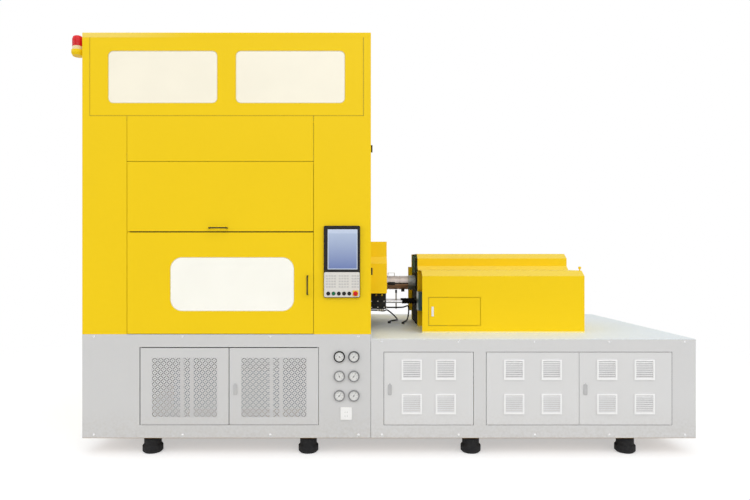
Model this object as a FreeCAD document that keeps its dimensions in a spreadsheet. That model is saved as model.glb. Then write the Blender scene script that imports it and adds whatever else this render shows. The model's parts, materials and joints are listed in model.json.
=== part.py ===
"""One-step injection stretch blow moulding machine, as a parametric document in millimetres.

A sheet-metal base on eight levelling mounts carries a tall guarded tower on its left half and
the injection unit, under two yellow covers, on its right half. Inside the tower a rotary table
carries the preforms round under a clamp platen that slides on four tie bars.

The machine's own coordinates start at the base's left end, front face and floor: x runs to the
right, y to the back and z up. Each sub-part is then moved so that the origin lies under the
middle of the whole machine, on the floor.
"""
import FreeCAD, Part
import math
import os

import Sketcher

# The driving dimensions, in millimetres and degrees.
SIZES = {
    # base
    "base_length": 5400,
    "left_length": 2541,
    "depth": 2300,
    "floor_gap": 150,
    "left_base_top": 1061,
    "right_base_top": 1019,
    "base_skin": 3,
    "bed_thickness": 60,
    "frame_tube": 50,
    "beam_height": 109,
    "beam_width": 150,
    "cross_beam": 60,
    "deck_beam_height": 104,
    # levelling mounts
    "foot_diameter": 178,
    "foot_height": 62,
    "foot_cap_diameter": 150,
    "foot_cap_height": 66,
    "pan_thickness": 3,
    "pan_hole_diameter": 42,
    "foot_stud_diameter": 36,
    "foot_setback": 100,
    "foot_first": 587,
    "foot_second_inset": 559,
    "foot_third_inset": 1964,
    "foot_fourth_inset": 580,
    # doors in general
    "door_depth": 22,
    "door_skin": 2,
    "door_gap": 4,
    "pivot_inset": 9,
    "pivot_depth": 10,
    "pivot_diameter": 10,
    "pivot_engagement": 12,
    "running_clearance": 0.05,
    "post_setback": 10,
    # perforated doors of the left base
    "left_doorway_start": 505,
    "left_doorway_inset": 459,
    "left_doorway_bottom": 262,
    "left_doorway_top": 948,
    "perforation_pitch": 54,
    "perforation_width": 34,
    "perforation_columns": 11,
    "perforation_rows": 10,
    # doors of the right base
    "single_doorway_inset": 112,
    "single_doorway_width": 792,
    "doorway_spacing": 109,
    "double_doorway_inset": 208,
    "right_doorway_bottom": 261,
    "right_doorway_top": 906,
    "vent_size": 178,
    "vent_opening": 150,
    "vent_proud": 9,
    "vent_slats": 8,
    "vent_slat_thickness": 2,
    "vent_row_low": 448,
    "vent_row_high": 749,
    "single_vent_spacing": 299,
    "double_vent_spacing": 330,
    # latches
    "latch_width": 34,
    "latch_height": 103,
    "latch_thickness": 6,
    "latch_inset": 50,
    "latch_middle": 578,
    "latch_gap": 0.3,
    "latch_pin_diameter": 3,
    "latch_ear_width": 4,
    # gauges and socket outlet
    "gauge_diameter": 100,
    "gauge_body_diameter": 80,
    "gauge_hole_diameter": 82,
    "gauge_proud": 18,
    "gauge_body_depth": 30,
    "gauge_column_inset": 278,
    "gauge_column_pitch": 128,
    "gauge_row_low": 522,
    "gauge_row_pitch": 171,
    "outlet_inset": 267,
    "outlet_bottom": 312,
    "outlet_width": 98,
    "outlet_height": 108,
    "outlet_proud": 11,
    # hydraulic unit
    "tank_left": 620,
    "tank_length": 1300,
    "tank_front": 560,
    "tank_width": 900,
    "tank_height": 420,
    "pump_diameter": 260,
    "pump_length": 560,
    # tower
    "tower_top": 3719,
    "tower_skin": 3,
    "roof_lip": 45,
    "post_size": 80,
    "left_column_width": 392,
    "right_column_width": 504,
    "strip_width": 65,
    "window_panel_bottom": 2983,
    "header_bottom": 2584,
    "seam": 3,
    "column_return": 40,
    "column_return_setback": 5,
    "rail_size": 60,
    # windows
    "window_margin": 228,
    "window_spacing": 161,
    "window_bottom": 3095,
    "window_height": 462,
    "window_corner": 45,
    "pane_overlap": 15,
    "pane_thickness": 5,
    # tower doors
    "front_door_bottom": 1066,
    "front_door_top": 1957,
    "lift_door_bottom": 1968,
    "lug_thickness": 6,
    "lug_size": 19,
    "door_window_left_inset": 382,
    "door_window_right_inset": 172,
    "door_window_bottom": 1264,
    "door_window_height": 476,
    "door_window_corner": 105,
    "handle_diameter": 12,
    "handle_reach": 44,
    "handle_bend": 16,
    "front_handle_inset": 53,
    "front_handle_bottom": 1413,
    "front_handle_length": 162,
    "lift_handle_inset": 807,
    "lift_handle_length": 156,
    "lift_handle_height": 1996,
    # side service door
    "side_door_front": 95,
    "side_door_width": 375,
    "side_door_bottom": 1341,
    "side_door_height": 1642,
    "hinge_diameter": 15,
    "hinge_pin_diameter": 7,
    "hinge_length": 65,
    "hinge_clearance": 0.3,
    "hinge_leaf": 26,
    "hinge_leaf_thickness": 2,
    "hinge_low": 1613,
    "hinge_high": 2711,
    # operator panel
    "panel_inset": 414,
    "panel_width": 318,
    "panel_bottom": 1386,
    "panel_height": 629,
    "panel_proud": 22,
    "panel_corner": 12,
    "screen_margin": 34,
    "screen_width": 262,
    "screen_rise": 246,
    "screen_height": 352,
    "screen_recess": 4,
    "screen_thickness": 3,
    "key_panel_height": 226,
    "key_panel_thickness": 2,
    "key_panel_margin": 4,
    "button_diameter": 26,
    "button_margin": 40,
    "button_pitch": 46,
    "button_rise": 35,
    "button_proud": 8,
    "button_bore_depth": 17,
    "button_travel": 4,
    "stop_margin": 278,
    "stop_diameter": 40,
    "stop_stem_diameter": 22,
    "stop_plate": 50,
    "stop_plate_thickness": 2,
    "stop_travel": 5,
    "stop_gap": 8,
    "stop_head": 16,
    # beacon
    "beacon_x": -66,
    "beacon_y": 62,
    "beacon_bottom": 3530,
    "beacon_bracket_diameter": 112,
    "beacon_bracket_height": 48,
    "beacon_collar_diameter": 92,
    "beacon_collar_height": 34,
    "beacon_lens_diameter": 98,
    "beacon_lens_height": 98,
    # nozzle guard
    "guard_front": 500,
    "guard_back": 1900,
    "guard_bottom": 1391,
    "guard_shoulder_low": 1679,
    "guard_shoulder_high": 1746,
    "guard_top": 1894,
    "guard_step": 60,
    "guard_reach": 162,
    "guard_skin": 3,
    # injection covers
    "cover_inset": 495,
    "cover_length": 1549,
    "cover_skin": 3,
    "cover_front": 425,
    "cover_middle": 905,
    "cover_back": 1640,
    "front_cover_shoulder": 1561,
    "front_cover_top": 1612,
    "front_cover_fold": 72,
    "tall_cover_shoulder": 1730,
    "tall_cover_top": 1778,
    "tall_cover_fold": 73,
    "cover_lip_rise": 40,
    "cover_lip_run": 47,
    "cover_doorway_inset": 60,
    "cover_doorway_width": 498,
    "cover_doorway_bottom": 1086,
    "cover_doorway_height": 274,
    "cover_door_depth": 18,
    "cover_pull_width": 22,
    "cover_pull_height": 92,
    "cover_pull_inset": 28,
    "cover_pull_thickness": 7,
    "far_strip_width": 39,
    "far_strip_bottom": 1127,
    "far_strip_top": 1633,
    "knob_diameter": 30,
    "knob_height": 42,
    "knob_stem_diameter": 12,
    "knob_inset": 14,
    # injection unit
    "barrel_y": 1270,
    "barrel_z": 1465,
    "barrel_diameter": 150,
    "barrel_reach": 81,
    "nozzle_reach": 301,
    "nozzle_diameter": 60,
    "barrel_hole": 172,
    "collar_diameter": 158,
    "collar_inset": 424,
    "unit_inset": 501,
    "unit_plate": 22,
    "unit_length": 420,
    "unit_width": 320,
    "unit_top": 1640,
    "carriage_height": 90,
    "plate_gap": 10,
    "bellows_diameter": 48,
    "bellows_neck_diameter": 38,
    "bellows_length": 150,
    "bellows_ribs": 9,
    "heater_band_width": 92,
    "heater_band_gap": 14,
    "barrel_neck_diameter": 140,
    "motor_diameter": 300,
    "motor_length": 560,
    "bed_height": 81,
    "bed_beam_width": 80,
    "bed_length": 1250,
    "traverse_length": 300,
    "traverse_width": 180,
    "traverse_bottom": 1206,
    "traverse_height": 186,
    "traverse_back": 885,
    "traverse_foot": 90,
    "rod_diameter": 30,
    "rod_z": 1265,
    "rod_spacing": 240,
    "rod_length": 1359,
    "rod_stay": 30,
    "unit_stroke": 120,
    # valve block and hoses
    "block_reach": 174,
    "block_front": 1030,
    "block_width": 90,
    "block_bottom": 1194,
    "block_height": 166,
    "hose_diameter": 16,
    "fitting_diameter": 24,
    "fitting_length": 14,
    "elbow_diameter": 30,
    "elbow_height": 22,
    # rotary table and clamp
    "table_diameter": 1160,
    "table_thickness": 40,
    "table_height": 1480,
    "table_shaft_diameter": 160,
    "table_bore_depth": 30,
    "table_hole_circle": 860,
    "table_hole_diameter": 120,
    "tie_spacing_x": 1300,
    "tie_spacing_y": 1100,
    "tie_diameter": 90,
    "platen_length": 1500,
    "platen_width": 1300,
    "platen_bottom": 1700,
    "platen_thickness": 120,
    "head_bottom": 2900,
    "head_thickness": 140,
    "cylinder_diameter": 300,
    "cylinder_bore": 210,
    "cylinder_height": 520,
    "cylinder_cap": 40,
    "piston_rod_diameter": 160,
    "piston_rod_reach": 20,
}

doc = FreeCAD.newDocument("BlowMouldingMachine")
sheet = doc.addObject("Spreadsheet::Sheet", "Sizes")
for row, (alias, number) in enumerate(SIZES.items(), start=1):
    sheet.set(f"A{row}", alias.replace("_", " "))
    sheet.set(f"B{row}", str(number))
    sheet.setAlias(f"B{row}", alias)
doc.recompute()


class Size:
    """A length that knows both its number and the sheet formula that gives it."""

    def __init__(self, number, formula):
        self.number = number
        self.formula = formula

    def __add__(self, other):
        other = as_size(other)
        return Size(self.number + other.number, f"({self.formula} + {other.formula})")

    def __sub__(self, other):
        other = as_size(other)
        return Size(self.number - other.number, f"({self.formula} - {other.formula})")

    def __mul__(self, factor):
        factor = as_size(factor)
        return Size(self.number * factor.number, f"{self.formula} * {factor.formula}")

    def __truediv__(self, divisor):
        divisor = as_size(divisor)
        return Size(self.number / divisor.number, f"{self.formula} / {divisor.formula}")

    def __radd__(self, other):
        return as_size(other) + self

    def __rsub__(self, other):
        return as_size(other) - self

    def __rmul__(self, other):
        return as_size(other) * self


def as_size(thing):
    """Turns a plain number into a Size, and leaves a Size as it is."""
    return thing if isinstance(thing, Size) else Size(thing, f"({thing})")


class Sheet:
    """Reads each alias of the sheet as a Size, such as S.base_length."""

    def __getattr__(self, alias):
        return Size(SIZES[alias], f"Sizes.{alias}")


S = Sheet()

# The origin lies under the middle of the whole machine: the beacon reaches furthest to the
# left and the emergency stop furthest to the front.
STOP_REACH = S.panel_proud + S.key_panel_thickness + S.stop_plate_thickness + S.stop_gap + S.stop_head
BEACON_REACH = S.beacon_bracket_diameter / 2 - S.beacon_x
ORIGIN_X = (S.base_length - BEACON_REACH) / 2
ORIGIN_Y = (S.depth - STOP_REACH) / 2

# Places that follow from the sizes, from the left end, the middle joint or the right end.
LEFT_DOORWAY_END = S.left_length - S.left_doorway_inset
SINGLE_DOORWAY_START = S.left_length + S.single_doorway_inset
SINGLE_DOORWAY_END = SINGLE_DOORWAY_START + S.single_doorway_width
DOUBLE_DOORWAY_START = SINGLE_DOORWAY_END + S.doorway_spacing
DOUBLE_DOORWAY_END = S.base_length - S.double_doorway_inset
GAUGE_LEFT = S.left_length - S.gauge_column_inset
GAUGE_RIGHT = GAUGE_LEFT + S.gauge_column_pitch
OUTLET_LEFT = S.left_length - S.outlet_inset
RIGHT_COLUMN = S.left_length - S.right_column_width
WINDOW_WIDTH = (S.left_length - 2 * S.window_margin - S.window_spacing) / 2
DOOR_WINDOW_LEFT = S.left_column_width + S.door_window_left_inset
DOOR_WINDOW_WIDTH = RIGHT_COLUMN - S.door_window_right_inset - DOOR_WINDOW_LEFT
FRONT_HANDLE_X = RIGHT_COLUMN - S.front_handle_inset
LIFT_HANDLE_X = S.left_column_width + S.lift_handle_inset
PANEL_LEFT = S.left_length - S.panel_inset
SCREEN_LEFT = PANEL_LEFT + S.screen_margin
SCREEN_BOTTOM = S.panel_bottom + S.screen_rise
BUTTON_FIRST = PANEL_LEFT + S.button_margin
BUTTON_Z = S.panel_bottom + S.button_rise
STOP_X = PANEL_LEFT + S.stop_margin
COVER_LEFT = S.left_length + S.cover_inset
COVER_RIGHT = COVER_LEFT + S.cover_length
COVER_DOORWAY_LEFT = COVER_LEFT + S.cover_doorway_inset
FAR_STRIP_LEFT = COVER_LEFT - S.far_strip_width
BARREL_FRONT = S.left_length - S.barrel_reach
NOZZLE_TIP = S.left_length - S.nozzle_reach
COLLAR_START = S.left_length + S.collar_inset
UNIT_START = S.left_length + S.unit_inset
ROD_END = S.left_length + S.rod_length
STATION_X = S.left_length / 2
STATION_Y = S.depth / 2

AXIS_TURNS = {
    "x": FreeCAD.Rotation(FreeCAD.Vector(0, 1, 0), 90),
    "y": FreeCAD.Rotation(FreeCAD.Vector(1, 0, 0), -90),
    "z": FreeCAD.Rotation(),
}

sub_parts = {}


def bind(item, **lengths):
    """Ties the properties of an object to their formulas on the sheet."""
    for name, length in lengths.items():
        item.setExpression(name, as_size(length).formula)


def place(item, x=0, y=0, z=0):
    """Puts an object's own origin at a point of the machine."""
    item.setExpression("Placement.Base.x", (as_size(x) - ORIGIN_X).formula)
    item.setExpression("Placement.Base.y", (as_size(y) - ORIGIN_Y).formula)
    item.setExpression("Placement.Base.z", as_size(z).formula)
    return item


def box(x, y, z, to_x, to_y, to_z):
    """A block between two corners."""
    item = doc.addObject("Part::Box", "Block")
    bind(item, Length=as_size(to_x) - x, Width=as_size(to_y) - y, Height=as_size(to_z) - z)
    return place(item, x, y, z)


def cylinder(x, y, z, diameter, length, axis="z"):
    """A round bar that starts at a point and runs along an axis."""
    item = doc.addObject("Part::Cylinder", "Bar")
    bind(item, Radius=as_size(diameter) / 2, Height=length)
    item.Placement = FreeCAD.Placement(FreeCAD.Vector(), AXIS_TURNS[axis])
    return place(item, x, y, z)


def cone(x, y, z, diameter, end_diameter, length, axis="z"):
    """A tapered round bar that starts at a point and runs along an axis."""
    item = doc.addObject("Part::Cone", "Taper")
    bind(item, Radius1=as_size(diameter) / 2, Radius2=as_size(end_diameter) / 2, Height=length)
    item.Placement = FreeCAD.Placement(FreeCAD.Vector(), AXIS_TURNS[axis])
    return place(item, x, y, z)


def fuse(*items):
    """Joins overlapping or touching solids into one."""
    item = doc.addObject("Part::MultiFuse", "Joined")
    item.Shapes = list(items)
    item.Refine = True
    return item


def cut(base, *tools):
    """Takes one or more tools away from a solid."""
    item = doc.addObject("Part::Cut", "Cut")
    item.Base = base
    item.Tool = tools[0] if len(tools) == 1 else group(*tools)
    return item


def group(*items):
    """Keeps solids together without joining them."""
    item = doc.addObject("Part::Compound", "Group")
    item.Links = list(items)
    return item


def sub_part(name, item):
    """Names the finished object of one sub-part."""
    item.Label = name
    sub_parts[name] = item
    return item


def plain_shape(shape):
    """Holds a shape made with Part's own functions, which is already in place."""
    item = doc.addObject("Part::Feature", "Shape")
    item.Shape = shape
    return item


def point(x, y, z):
    """A point of the machine as a vector in the finished frame."""
    return FreeCAD.Vector(
        as_size(x).number - ORIGIN_X.number,
        as_size(y).number - ORIGIN_Y.number,
        as_size(z).number,
    )


# ---------------------------------------------------------------------------
# Sketched bodies
# ---------------------------------------------------------------------------


def body_at(x=0, y=0, z=0):
    """A body whose own origin lies at a point of the machine."""
    return place(doc.addObject("PartDesign::Body", "Body"), x, y, z)


def sketch_on(body, role, offset=0):
    """A sketch on one of the body's own origin planes, moved along the plane's normal."""
    sketch = body.newObject("Sketcher::SketchObject", "Profile")
    plane = [item for item in body.Origin.OriginFeatures if item.Role == role][0]
    sketch.AttachmentSupport = [(plane, "")]
    sketch.MapMode = "FlatFace"
    sketch.setExpression("AttachmentOffset.Base.z", as_size(offset).formula)
    return sketch


def fix_point(sketch, geometry, end, across, up):
    """Holds one point of a sketch at a distance across and up from the sketch's origin."""
    for kind, length in (("DistanceX", across), ("DistanceY", up)):
        length = as_size(length)
        index = sketch.addConstraint(
            Sketcher.Constraint(kind, -1, 1, geometry, end, float(length.number))
        )
        name = f"{kind}_{geometry}_{end}"
        sketch.renameConstraint(index, name)
        sketch.setExpression(f"Constraints.{name}", length.formula)


def outline(sketch, points):
    """A closed outline of straight lines through points given as (across, up)."""
    corners = [FreeCAD.Vector(as_size(a).number, as_size(u).number, 0) for a, u in points]
    count = len(corners)
    first = sketch.GeometryCount
    for i in range(count):
        sketch.addGeometry(Part.LineSegment(corners[i], corners[(i + 1) % count]))
    for i in range(count):
        sketch.addConstraint(
            Sketcher.Constraint("Coincident", first + i, 2, first + (i + 1) % count, 1)
        )
    for i, (across, up) in enumerate(points):
        fix_point(sketch, first + i, 1, across, up)


def rectangle(sketch, left, low, right, high):
    """A closed rectangle between two corners."""
    outline(sketch, [(left, low), (right, low), (right, high), (left, high)])


def circle(sketch, across, up, diameter):
    """A circle, held by its centre and diameter."""
    diameter = as_size(diameter)
    centre = FreeCAD.Vector(as_size(across).number, as_size(up).number, 0)
    index = sketch.addGeometry(
        Part.Circle(centre, FreeCAD.Vector(0, 0, 1), diameter.number / 2)
    )
    fix_point(sketch, index, 3, across, up)
    name = f"Diameter_{index}"
    constraint = sketch.addConstraint(Sketcher.Constraint("Diameter", index, diameter.number))
    sketch.renameConstraint(constraint, name)
    sketch.setExpression(f"Constraints.{name}", diameter.formula)


def rounded_rectangle(sketch, left, low, width, height, radius):
    """A rectangle with four equal round corners."""
    left, low, width, height, radius = map(as_size, (left, low, width, height, radius))
    right, high = left + width, low + height
    centres = [
        (right - radius, low + radius, -90),
        (right - radius, high - radius, 0),
        (left + radius, high - radius, 90),
        (left + radius, low + radius, 180),
    ]
    first = sketch.GeometryCount
    arcs = []
    for across, up, start in centres:
        middle = FreeCAD.Vector(across.number, up.number, 0)
        round_corner = Part.Circle(middle, FreeCAD.Vector(0, 0, 1), radius.number)
        ends = (math.radians(start), math.radians(start + 90))
        arcs.append(Part.ArcOfCircle(round_corner, *ends))
    for i, arc in enumerate(arcs):
        sketch.addGeometry(arc)
        sketch.addGeometry(Part.LineSegment(arc.EndPoint, arcs[(i + 1) % 4].StartPoint))
    for i in range(4):
        arc, line, following = first + 2 * i, first + 2 * i + 1, first + (2 * i + 2) % 8
        sketch.addConstraint(Sketcher.Constraint("Tangent", arc, 2, line, 1))
        sketch.addConstraint(Sketcher.Constraint("Tangent", line, 2, following, 1))
    for i, (across, up, _) in enumerate(centres):
        fix_point(sketch, first + 2 * i, 3, across, up)
    name = f"Radius_{first}"
    constraint = sketch.addConstraint(Sketcher.Constraint("Radius", first, radius.number))
    sketch.renameConstraint(constraint, name)
    sketch.setExpression(f"Constraints.{name}", radius.formula)


def pad(body, sketch, length, reverse=True):
    """Thickens a sketch. Sketches on the front plane grow to the back when reversed."""
    feature = body.newObject("PartDesign::Pad", "Pad")
    feature.Profile = sketch
    feature.Reversed = reverse
    bind(feature, Length=length)
    return feature


def pocket(body, sketch, length):
    """Cuts a sketch into the body, to the back where the sketch is on the front plane."""
    feature = body.newObject("PartDesign::Pocket", "Pocket")
    feature.Profile = sketch
    bind(feature, Length=length)
    return feature


def front_plate(front, thickness, holes=(), corners=None, points=None):
    """An upright sheet parallel to the front, from a rectangle or an outline, with holes.

    Each hole is a function that draws one closed shape in the sheet's sketch.
    """
    body = body_at(0, front, 0)
    sketch = sketch_on(body, "XZ_Plane")
    if points is None:
        rectangle(sketch, *corners)
    else:
        outline(sketch, points)
    for draw in holes:
        draw(sketch)
    pad(body, sketch, thickness)
    return body


def side_profile(start, length, points, holes=()):
    """A solid with one outline in y and z, along x from start."""
    body = body_at(start, 0, 0)
    sketch = sketch_on(body, "YZ_Plane")
    outline(sketch, points)
    for draw in holes:
        draw(sketch)
    pad(body, sketch, length, reverse=False)
    return body


def turned(x, y, z, profile, axis="z"):
    """A solid turned about an upright axis from an outline of (radius, height) points.

    Along x the height runs to the right, along y to the front, as a knob on a panel stands.
    """
    body = doc.addObject("PartDesign::Body", "Turned")
    turn = {
        "z": FreeCAD.Rotation(),
        "x": FreeCAD.Rotation(FreeCAD.Vector(0, 1, 0), 90),
        "y": FreeCAD.Rotation(FreeCAD.Vector(1, 0, 0), 90),
    }[axis]
    body.Placement = FreeCAD.Placement(FreeCAD.Vector(), turn)
    place(body, x, y, z)
    sketch = sketch_on(body, "XZ_Plane")
    outline(sketch, profile)
    feature = body.newObject("PartDesign::Revolution", "Revolution")
    feature.Profile = sketch
    feature.ReferenceAxis = (sketch, ["V_Axis"])
    feature.Angle = 360
    return body


def tube_along(route, diameter):
    """A tube along straight runs joined by tangent arcs, and the radii of those arcs.

    Each arc is as large as its two runs allow: 0.45 of the shorter one.
    """
    points = [point(*p) for p in route]
    edges, radii, last = [], [], points[0]
    for before, corner, after in zip(points, points[1:], points[2:]):
        back, ahead = before - corner, after - corner
        reach = 0.45 * min(back.Length, ahead.Length)
        back.normalize()
        ahead.normalize()
        start, end = corner + back * reach, corner + ahead * reach
        middle_way = (back + ahead).normalize()
        half_turn = (math.pi - back.getAngle(ahead)) / 2
        radius = reach / math.tan(half_turn)
        middle = corner + middle_way * (radius / math.cos(half_turn) - radius)
        edges.append(Part.LineSegment(last, start).toShape())
        edges.append(Part.Arc(start, middle, end).toShape())
        radii.append(radius)
        last = end
    edges.append(Part.LineSegment(last, points[-1]).toShape())
    wire = Part.Wire(edges)
    section = Part.Wire(
        Part.makeCircle(diameter.number / 2, points[0], points[1] - points[0])
    )
    tube = wire.makePipeShell([section], True, False)
    return tube, wire.Length, radii


# ---------------------------------------------------------------------------
# Base
# ---------------------------------------------------------------------------

SKIN = S.base_skin
BED_BOTTOM = S.left_base_top - S.bed_thickness
BEAM_TOP = S.floor_gap + S.beam_height
DECK_BOTTOM = S.right_base_top - SKIN
DECK_BEAM_BOTTOM = DECK_BOTTOM - S.deck_beam_height
BACK = S.depth - SKIN
PIVOT = S.pivot_inset + S.door_gap
BORE = S.pivot_diameter + 2 * S.running_clearance
LEFT_PIVOTS = (S.left_doorway_start + PIVOT, LEFT_DOORWAY_END - PIVOT)
RIGHT_PIVOTS = (
    SINGLE_DOORWAY_END - PIVOT,
    DOUBLE_DOORWAY_START + PIVOT,
    DOUBLE_DOORWAY_END - PIVOT,
)


def pivot_bores(beam, pivots, low, high):
    """Bores for the doors' pivot pins, between two heights of a beam."""
    tools = [cylinder(x, S.pivot_depth, low, BORE, high - low) for x in pivots]
    return cut(beam, *tools)


def base_frame():
    """Welded tubes and beams of both halves of the base."""
    tube = S.frame_tube
    rail_low = BED_BOTTOM - tube
    engagement = S.pivot_engagement + S.door_gap
    pieces = []
    halves = (
        (SKIN, S.left_length - SKIN, rail_low, BED_BOTTOM, LEFT_PIVOTS),
        (S.left_length, S.base_length - SKIN, DECK_BEAM_BOTTOM, DECK_BOTTOM, RIGHT_PIVOTS),
    )
    for left, right, low, high, pivots in halves:
        beam = box(left, SKIN, S.floor_gap, right, SKIN + S.beam_width, BEAM_TOP)
        pieces.append(pivot_bores(beam, pivots, BEAM_TOP - engagement, BEAM_TOP))
        pieces.append(box(left, BACK - S.beam_width, S.floor_gap, right, BACK, BEAM_TOP))
        rail = box(left, SKIN, low, right, SKIN + tube, high)
        pieces.append(pivot_bores(rail, pivots, low, low + engagement))
        pieces.append(box(left, BACK - tube, low, right, BACK, high))
        for side in (left, right - tube):
            pieces.append(box(side, SKIN + tube, low, side + tube, BACK - tube, high))
            pieces.append(box(side, SKIN, BEAM_TOP, side + tube, SKIN + tube, low))
            pieces.append(box(side, BACK - tube, BEAM_TOP, side + tube, BACK, low))
        for side in (left, right - S.cross_beam):
            pieces.append(
                box(
                    side,
                    SKIN + S.beam_width,
                    S.floor_gap,
                    side + S.cross_beam,
                    BACK - S.beam_width,
                    BEAM_TOP,
                )
            )
    # the door posts at the front
    middle = (SINGLE_DOORWAY_END + DOUBLE_DOORWAY_START - tube) / 2
    left_posts = (
        S.left_doorway_start - S.post_setback - tube,
        LEFT_DOORWAY_END + S.post_setback,
    )
    for side in left_posts:
        pieces.append(box(side, SKIN, BEAM_TOP, side + tube, SKIN + tube, rail_low))
    pieces.append(box(middle, SKIN, BEAM_TOP, middle + tube, SKIN + tube, DECK_BEAM_BOTTOM))
    # cross beams under the tank and under the injection unit
    for side in (S.tank_left, S.tank_left + S.tank_length - S.cross_beam, middle):
        pieces.append(
            box(
                side,
                SKIN + S.beam_width,
                S.floor_gap,
                side + S.cross_beam,
                BACK - S.beam_width,
                BEAM_TOP,
            )
        )
    for side in (middle, COVER_RIGHT - S.cross_beam):
        pieces.append(
            box(side, SKIN + tube, DECK_BEAM_BOTTOM, side + tube, BACK - tube, DECK_BOTTOM)
        )
    sub_part("base_frame", group(*pieces))


def machine_bed():
    """The thick steel bed under the tower, with the table's bearing bore."""
    bed = box(SKIN, SKIN, BED_BOTTOM, S.left_length, BACK, S.left_base_top)
    table_bore = cylinder(
        STATION_X,
        STATION_Y,
        S.left_base_top - S.table_bore_depth,
        S.table_shaft_diameter + 2 * S.running_clearance,
        S.table_bore_depth,
    )
    engagement = S.pivot_engagement + S.door_gap
    pin_bore = cylinder(
        S.left_column_width + PIVOT,
        S.pivot_depth,
        S.left_base_top - engagement,
        BORE,
        engagement,
    )
    sub_part("machine_bed", cut(bed, table_bore, pin_bore))


def deck_plate():
    """The pale deck over the right half of the base."""
    deck = box(S.left_length, 0, DECK_BOTTOM, S.base_length, S.depth, S.right_base_top)
    sub_part("deck_plate", deck)


def mount_places():
    """Where the levelling mounts stand, as (x, y)."""
    across = (
        S.foot_first,
        S.left_length - S.foot_second_inset,
        S.base_length - S.foot_third_inset,
        S.base_length - S.foot_fourth_inset,
    )
    return [(x, y) for x in across for y in (S.foot_setback, S.depth - S.foot_setback)]


def bottom_pan(start, end):
    """The sheet under one half of the base, with holes for the mounts' studs."""
    low = S.floor_gap - S.pan_thickness
    first, last = as_size(start), as_size(end)
    holes = [
        cylinder(x, y, low, S.pan_hole_diameter, S.pan_thickness)
        for x, y in mount_places()
        if first.number < x.number < last.number
    ]
    return cut(box(start, 0, low, end, S.depth, S.floor_gap), *holes)


def base_panels():
    """The sheets that close the base at the front, the ends and the back."""

    def left_doorway(sketch):
        rectangle(
            sketch,
            S.left_doorway_start,
            S.left_doorway_bottom,
            LEFT_DOORWAY_END,
            S.left_doorway_top,
        )

    def gauge_hole(column, row):
        height = S.gauge_row_low + S.gauge_row_pitch * row
        return lambda sketch: circle(sketch, column, height, S.gauge_hole_diameter)

    columns = (GAUGE_LEFT, GAUGE_RIGHT)
    gauge_holes = [gauge_hole(column, row) for column in columns for row in range(3)]
    left = front_plate(
        0,
        SKIN,
        holes=[left_doorway] + gauge_holes,
        corners=(0, S.floor_gap, S.left_length - S.seam, S.left_base_top),
    )
    sub_part("left_base_front_panel", left)

    def right_doorway(start, end):
        low, high = S.right_doorway_bottom, S.right_doorway_top
        return lambda sketch: rectangle(sketch, start, low, end, high)

    right = front_plate(
        0,
        SKIN,
        holes=[
            right_doorway(SINGLE_DOORWAY_START, SINGLE_DOORWAY_END),
            right_doorway(DOUBLE_DOORWAY_START, DOUBLE_DOORWAY_END),
        ],
        corners=(S.left_length, S.floor_gap, S.base_length, DECK_BOTTOM),
    )
    sub_part("right_base_front_panel", right)
    right_end = S.base_length - SKIN
    sub_part(
        "base_end_panels",
        group(
            box(0, SKIN, S.floor_gap, SKIN, BACK, S.left_base_top),
            box(right_end, SKIN, S.floor_gap, S.base_length, BACK, DECK_BOTTOM),
        ),
    )
    sub_part(
        "base_rear_panels",
        group(
            box(0, BACK, S.floor_gap, S.left_length, S.depth, S.left_base_top),
            box(S.left_length, BACK, S.floor_gap, S.base_length, S.depth, DECK_BOTTOM),
            bottom_pan(0, S.left_length),
            bottom_pan(S.left_length, S.base_length),
        ),
    )


def levelling_mounts():
    """Eight machine mounts: a rubber disc, a steel cap and a stud up to the beam."""
    rubber, cap, stud = S.foot_diameter / 2, S.foot_cap_diameter / 2, S.foot_stud_diameter / 2
    cap_top = S.foot_height + S.foot_cap_height
    edge = S.foot_height / 4
    profile = [
        (0, 0),
        (rubber - edge, 0),
        (rubber, edge),
        (rubber, S.foot_height),
        (cap, S.foot_height + edge),
        (cap, cap_top),
        (stud, cap_top + edge),
        (stud, S.floor_gap),
        (0, S.floor_gap),
    ]
    mounts = [turned(x, y, 0, profile) for x, y in mount_places()]
    sub_part("levelling_mounts", group(*mounts))


def pressure_gauges():
    """Six dial gauges with a raised bezel, a sunk face, a needle and a body behind."""
    outer, body = S.gauge_diameter / 2, S.gauge_body_diameter / 2
    face, proud, behind = outer * 0.82, S.gauge_proud, S.gauge_body_depth
    profile = [
        (0, 0 - behind),
        (body, 0 - behind),
        (body, 0),
        (outer, 0),
        (outer, proud * 0.7),
        (outer * 0.93, proud),
        (face, proud),
        (face, proud * 0.6),
        (0, proud * 0.6),
    ]
    gauges = []
    for column in (GAUGE_LEFT, GAUGE_RIGHT):
        for row in range(3):
            height = S.gauge_row_low + S.gauge_row_pitch * row
            gauges.append(turned(column, 0, height, profile, axis="y"))
    sub_part("pressure_gauges", group(*gauges))


def socket_outlet():
    """A plain five-hole socket outlet under the gauges."""
    left, low = OUTLET_LEFT, S.outlet_bottom
    body = body_at(0, 0 - S.outlet_proud, 0)
    sketch = sketch_on(body, "XZ_Plane")
    rounded_rectangle(sketch, left, low, S.outlet_width, S.outlet_height, S.outlet_proud / 2)
    pad(body, sketch, S.outlet_proud)
    holes = sketch_on(body, "XZ_Plane")
    middle = left + S.outlet_width / 2
    slot_width, slot_height = S.outlet_width * 0.03, S.outlet_height * 0.08
    rows = (low + S.outlet_height * 0.62, low + S.outlet_height * 0.3)
    for row in rows:
        for aside in (S.outlet_width * -0.1, S.outlet_width * 0.1):
            centre = middle + aside
            rectangle(
                holes,
                centre - slot_width / 2,
                row - slot_height / 2,
                centre + slot_width / 2,
                row + slot_height / 2,
            )
    pocket(body, holes, S.outlet_proud * 0.6)
    sub_part("socket_outlet", body)


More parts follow.
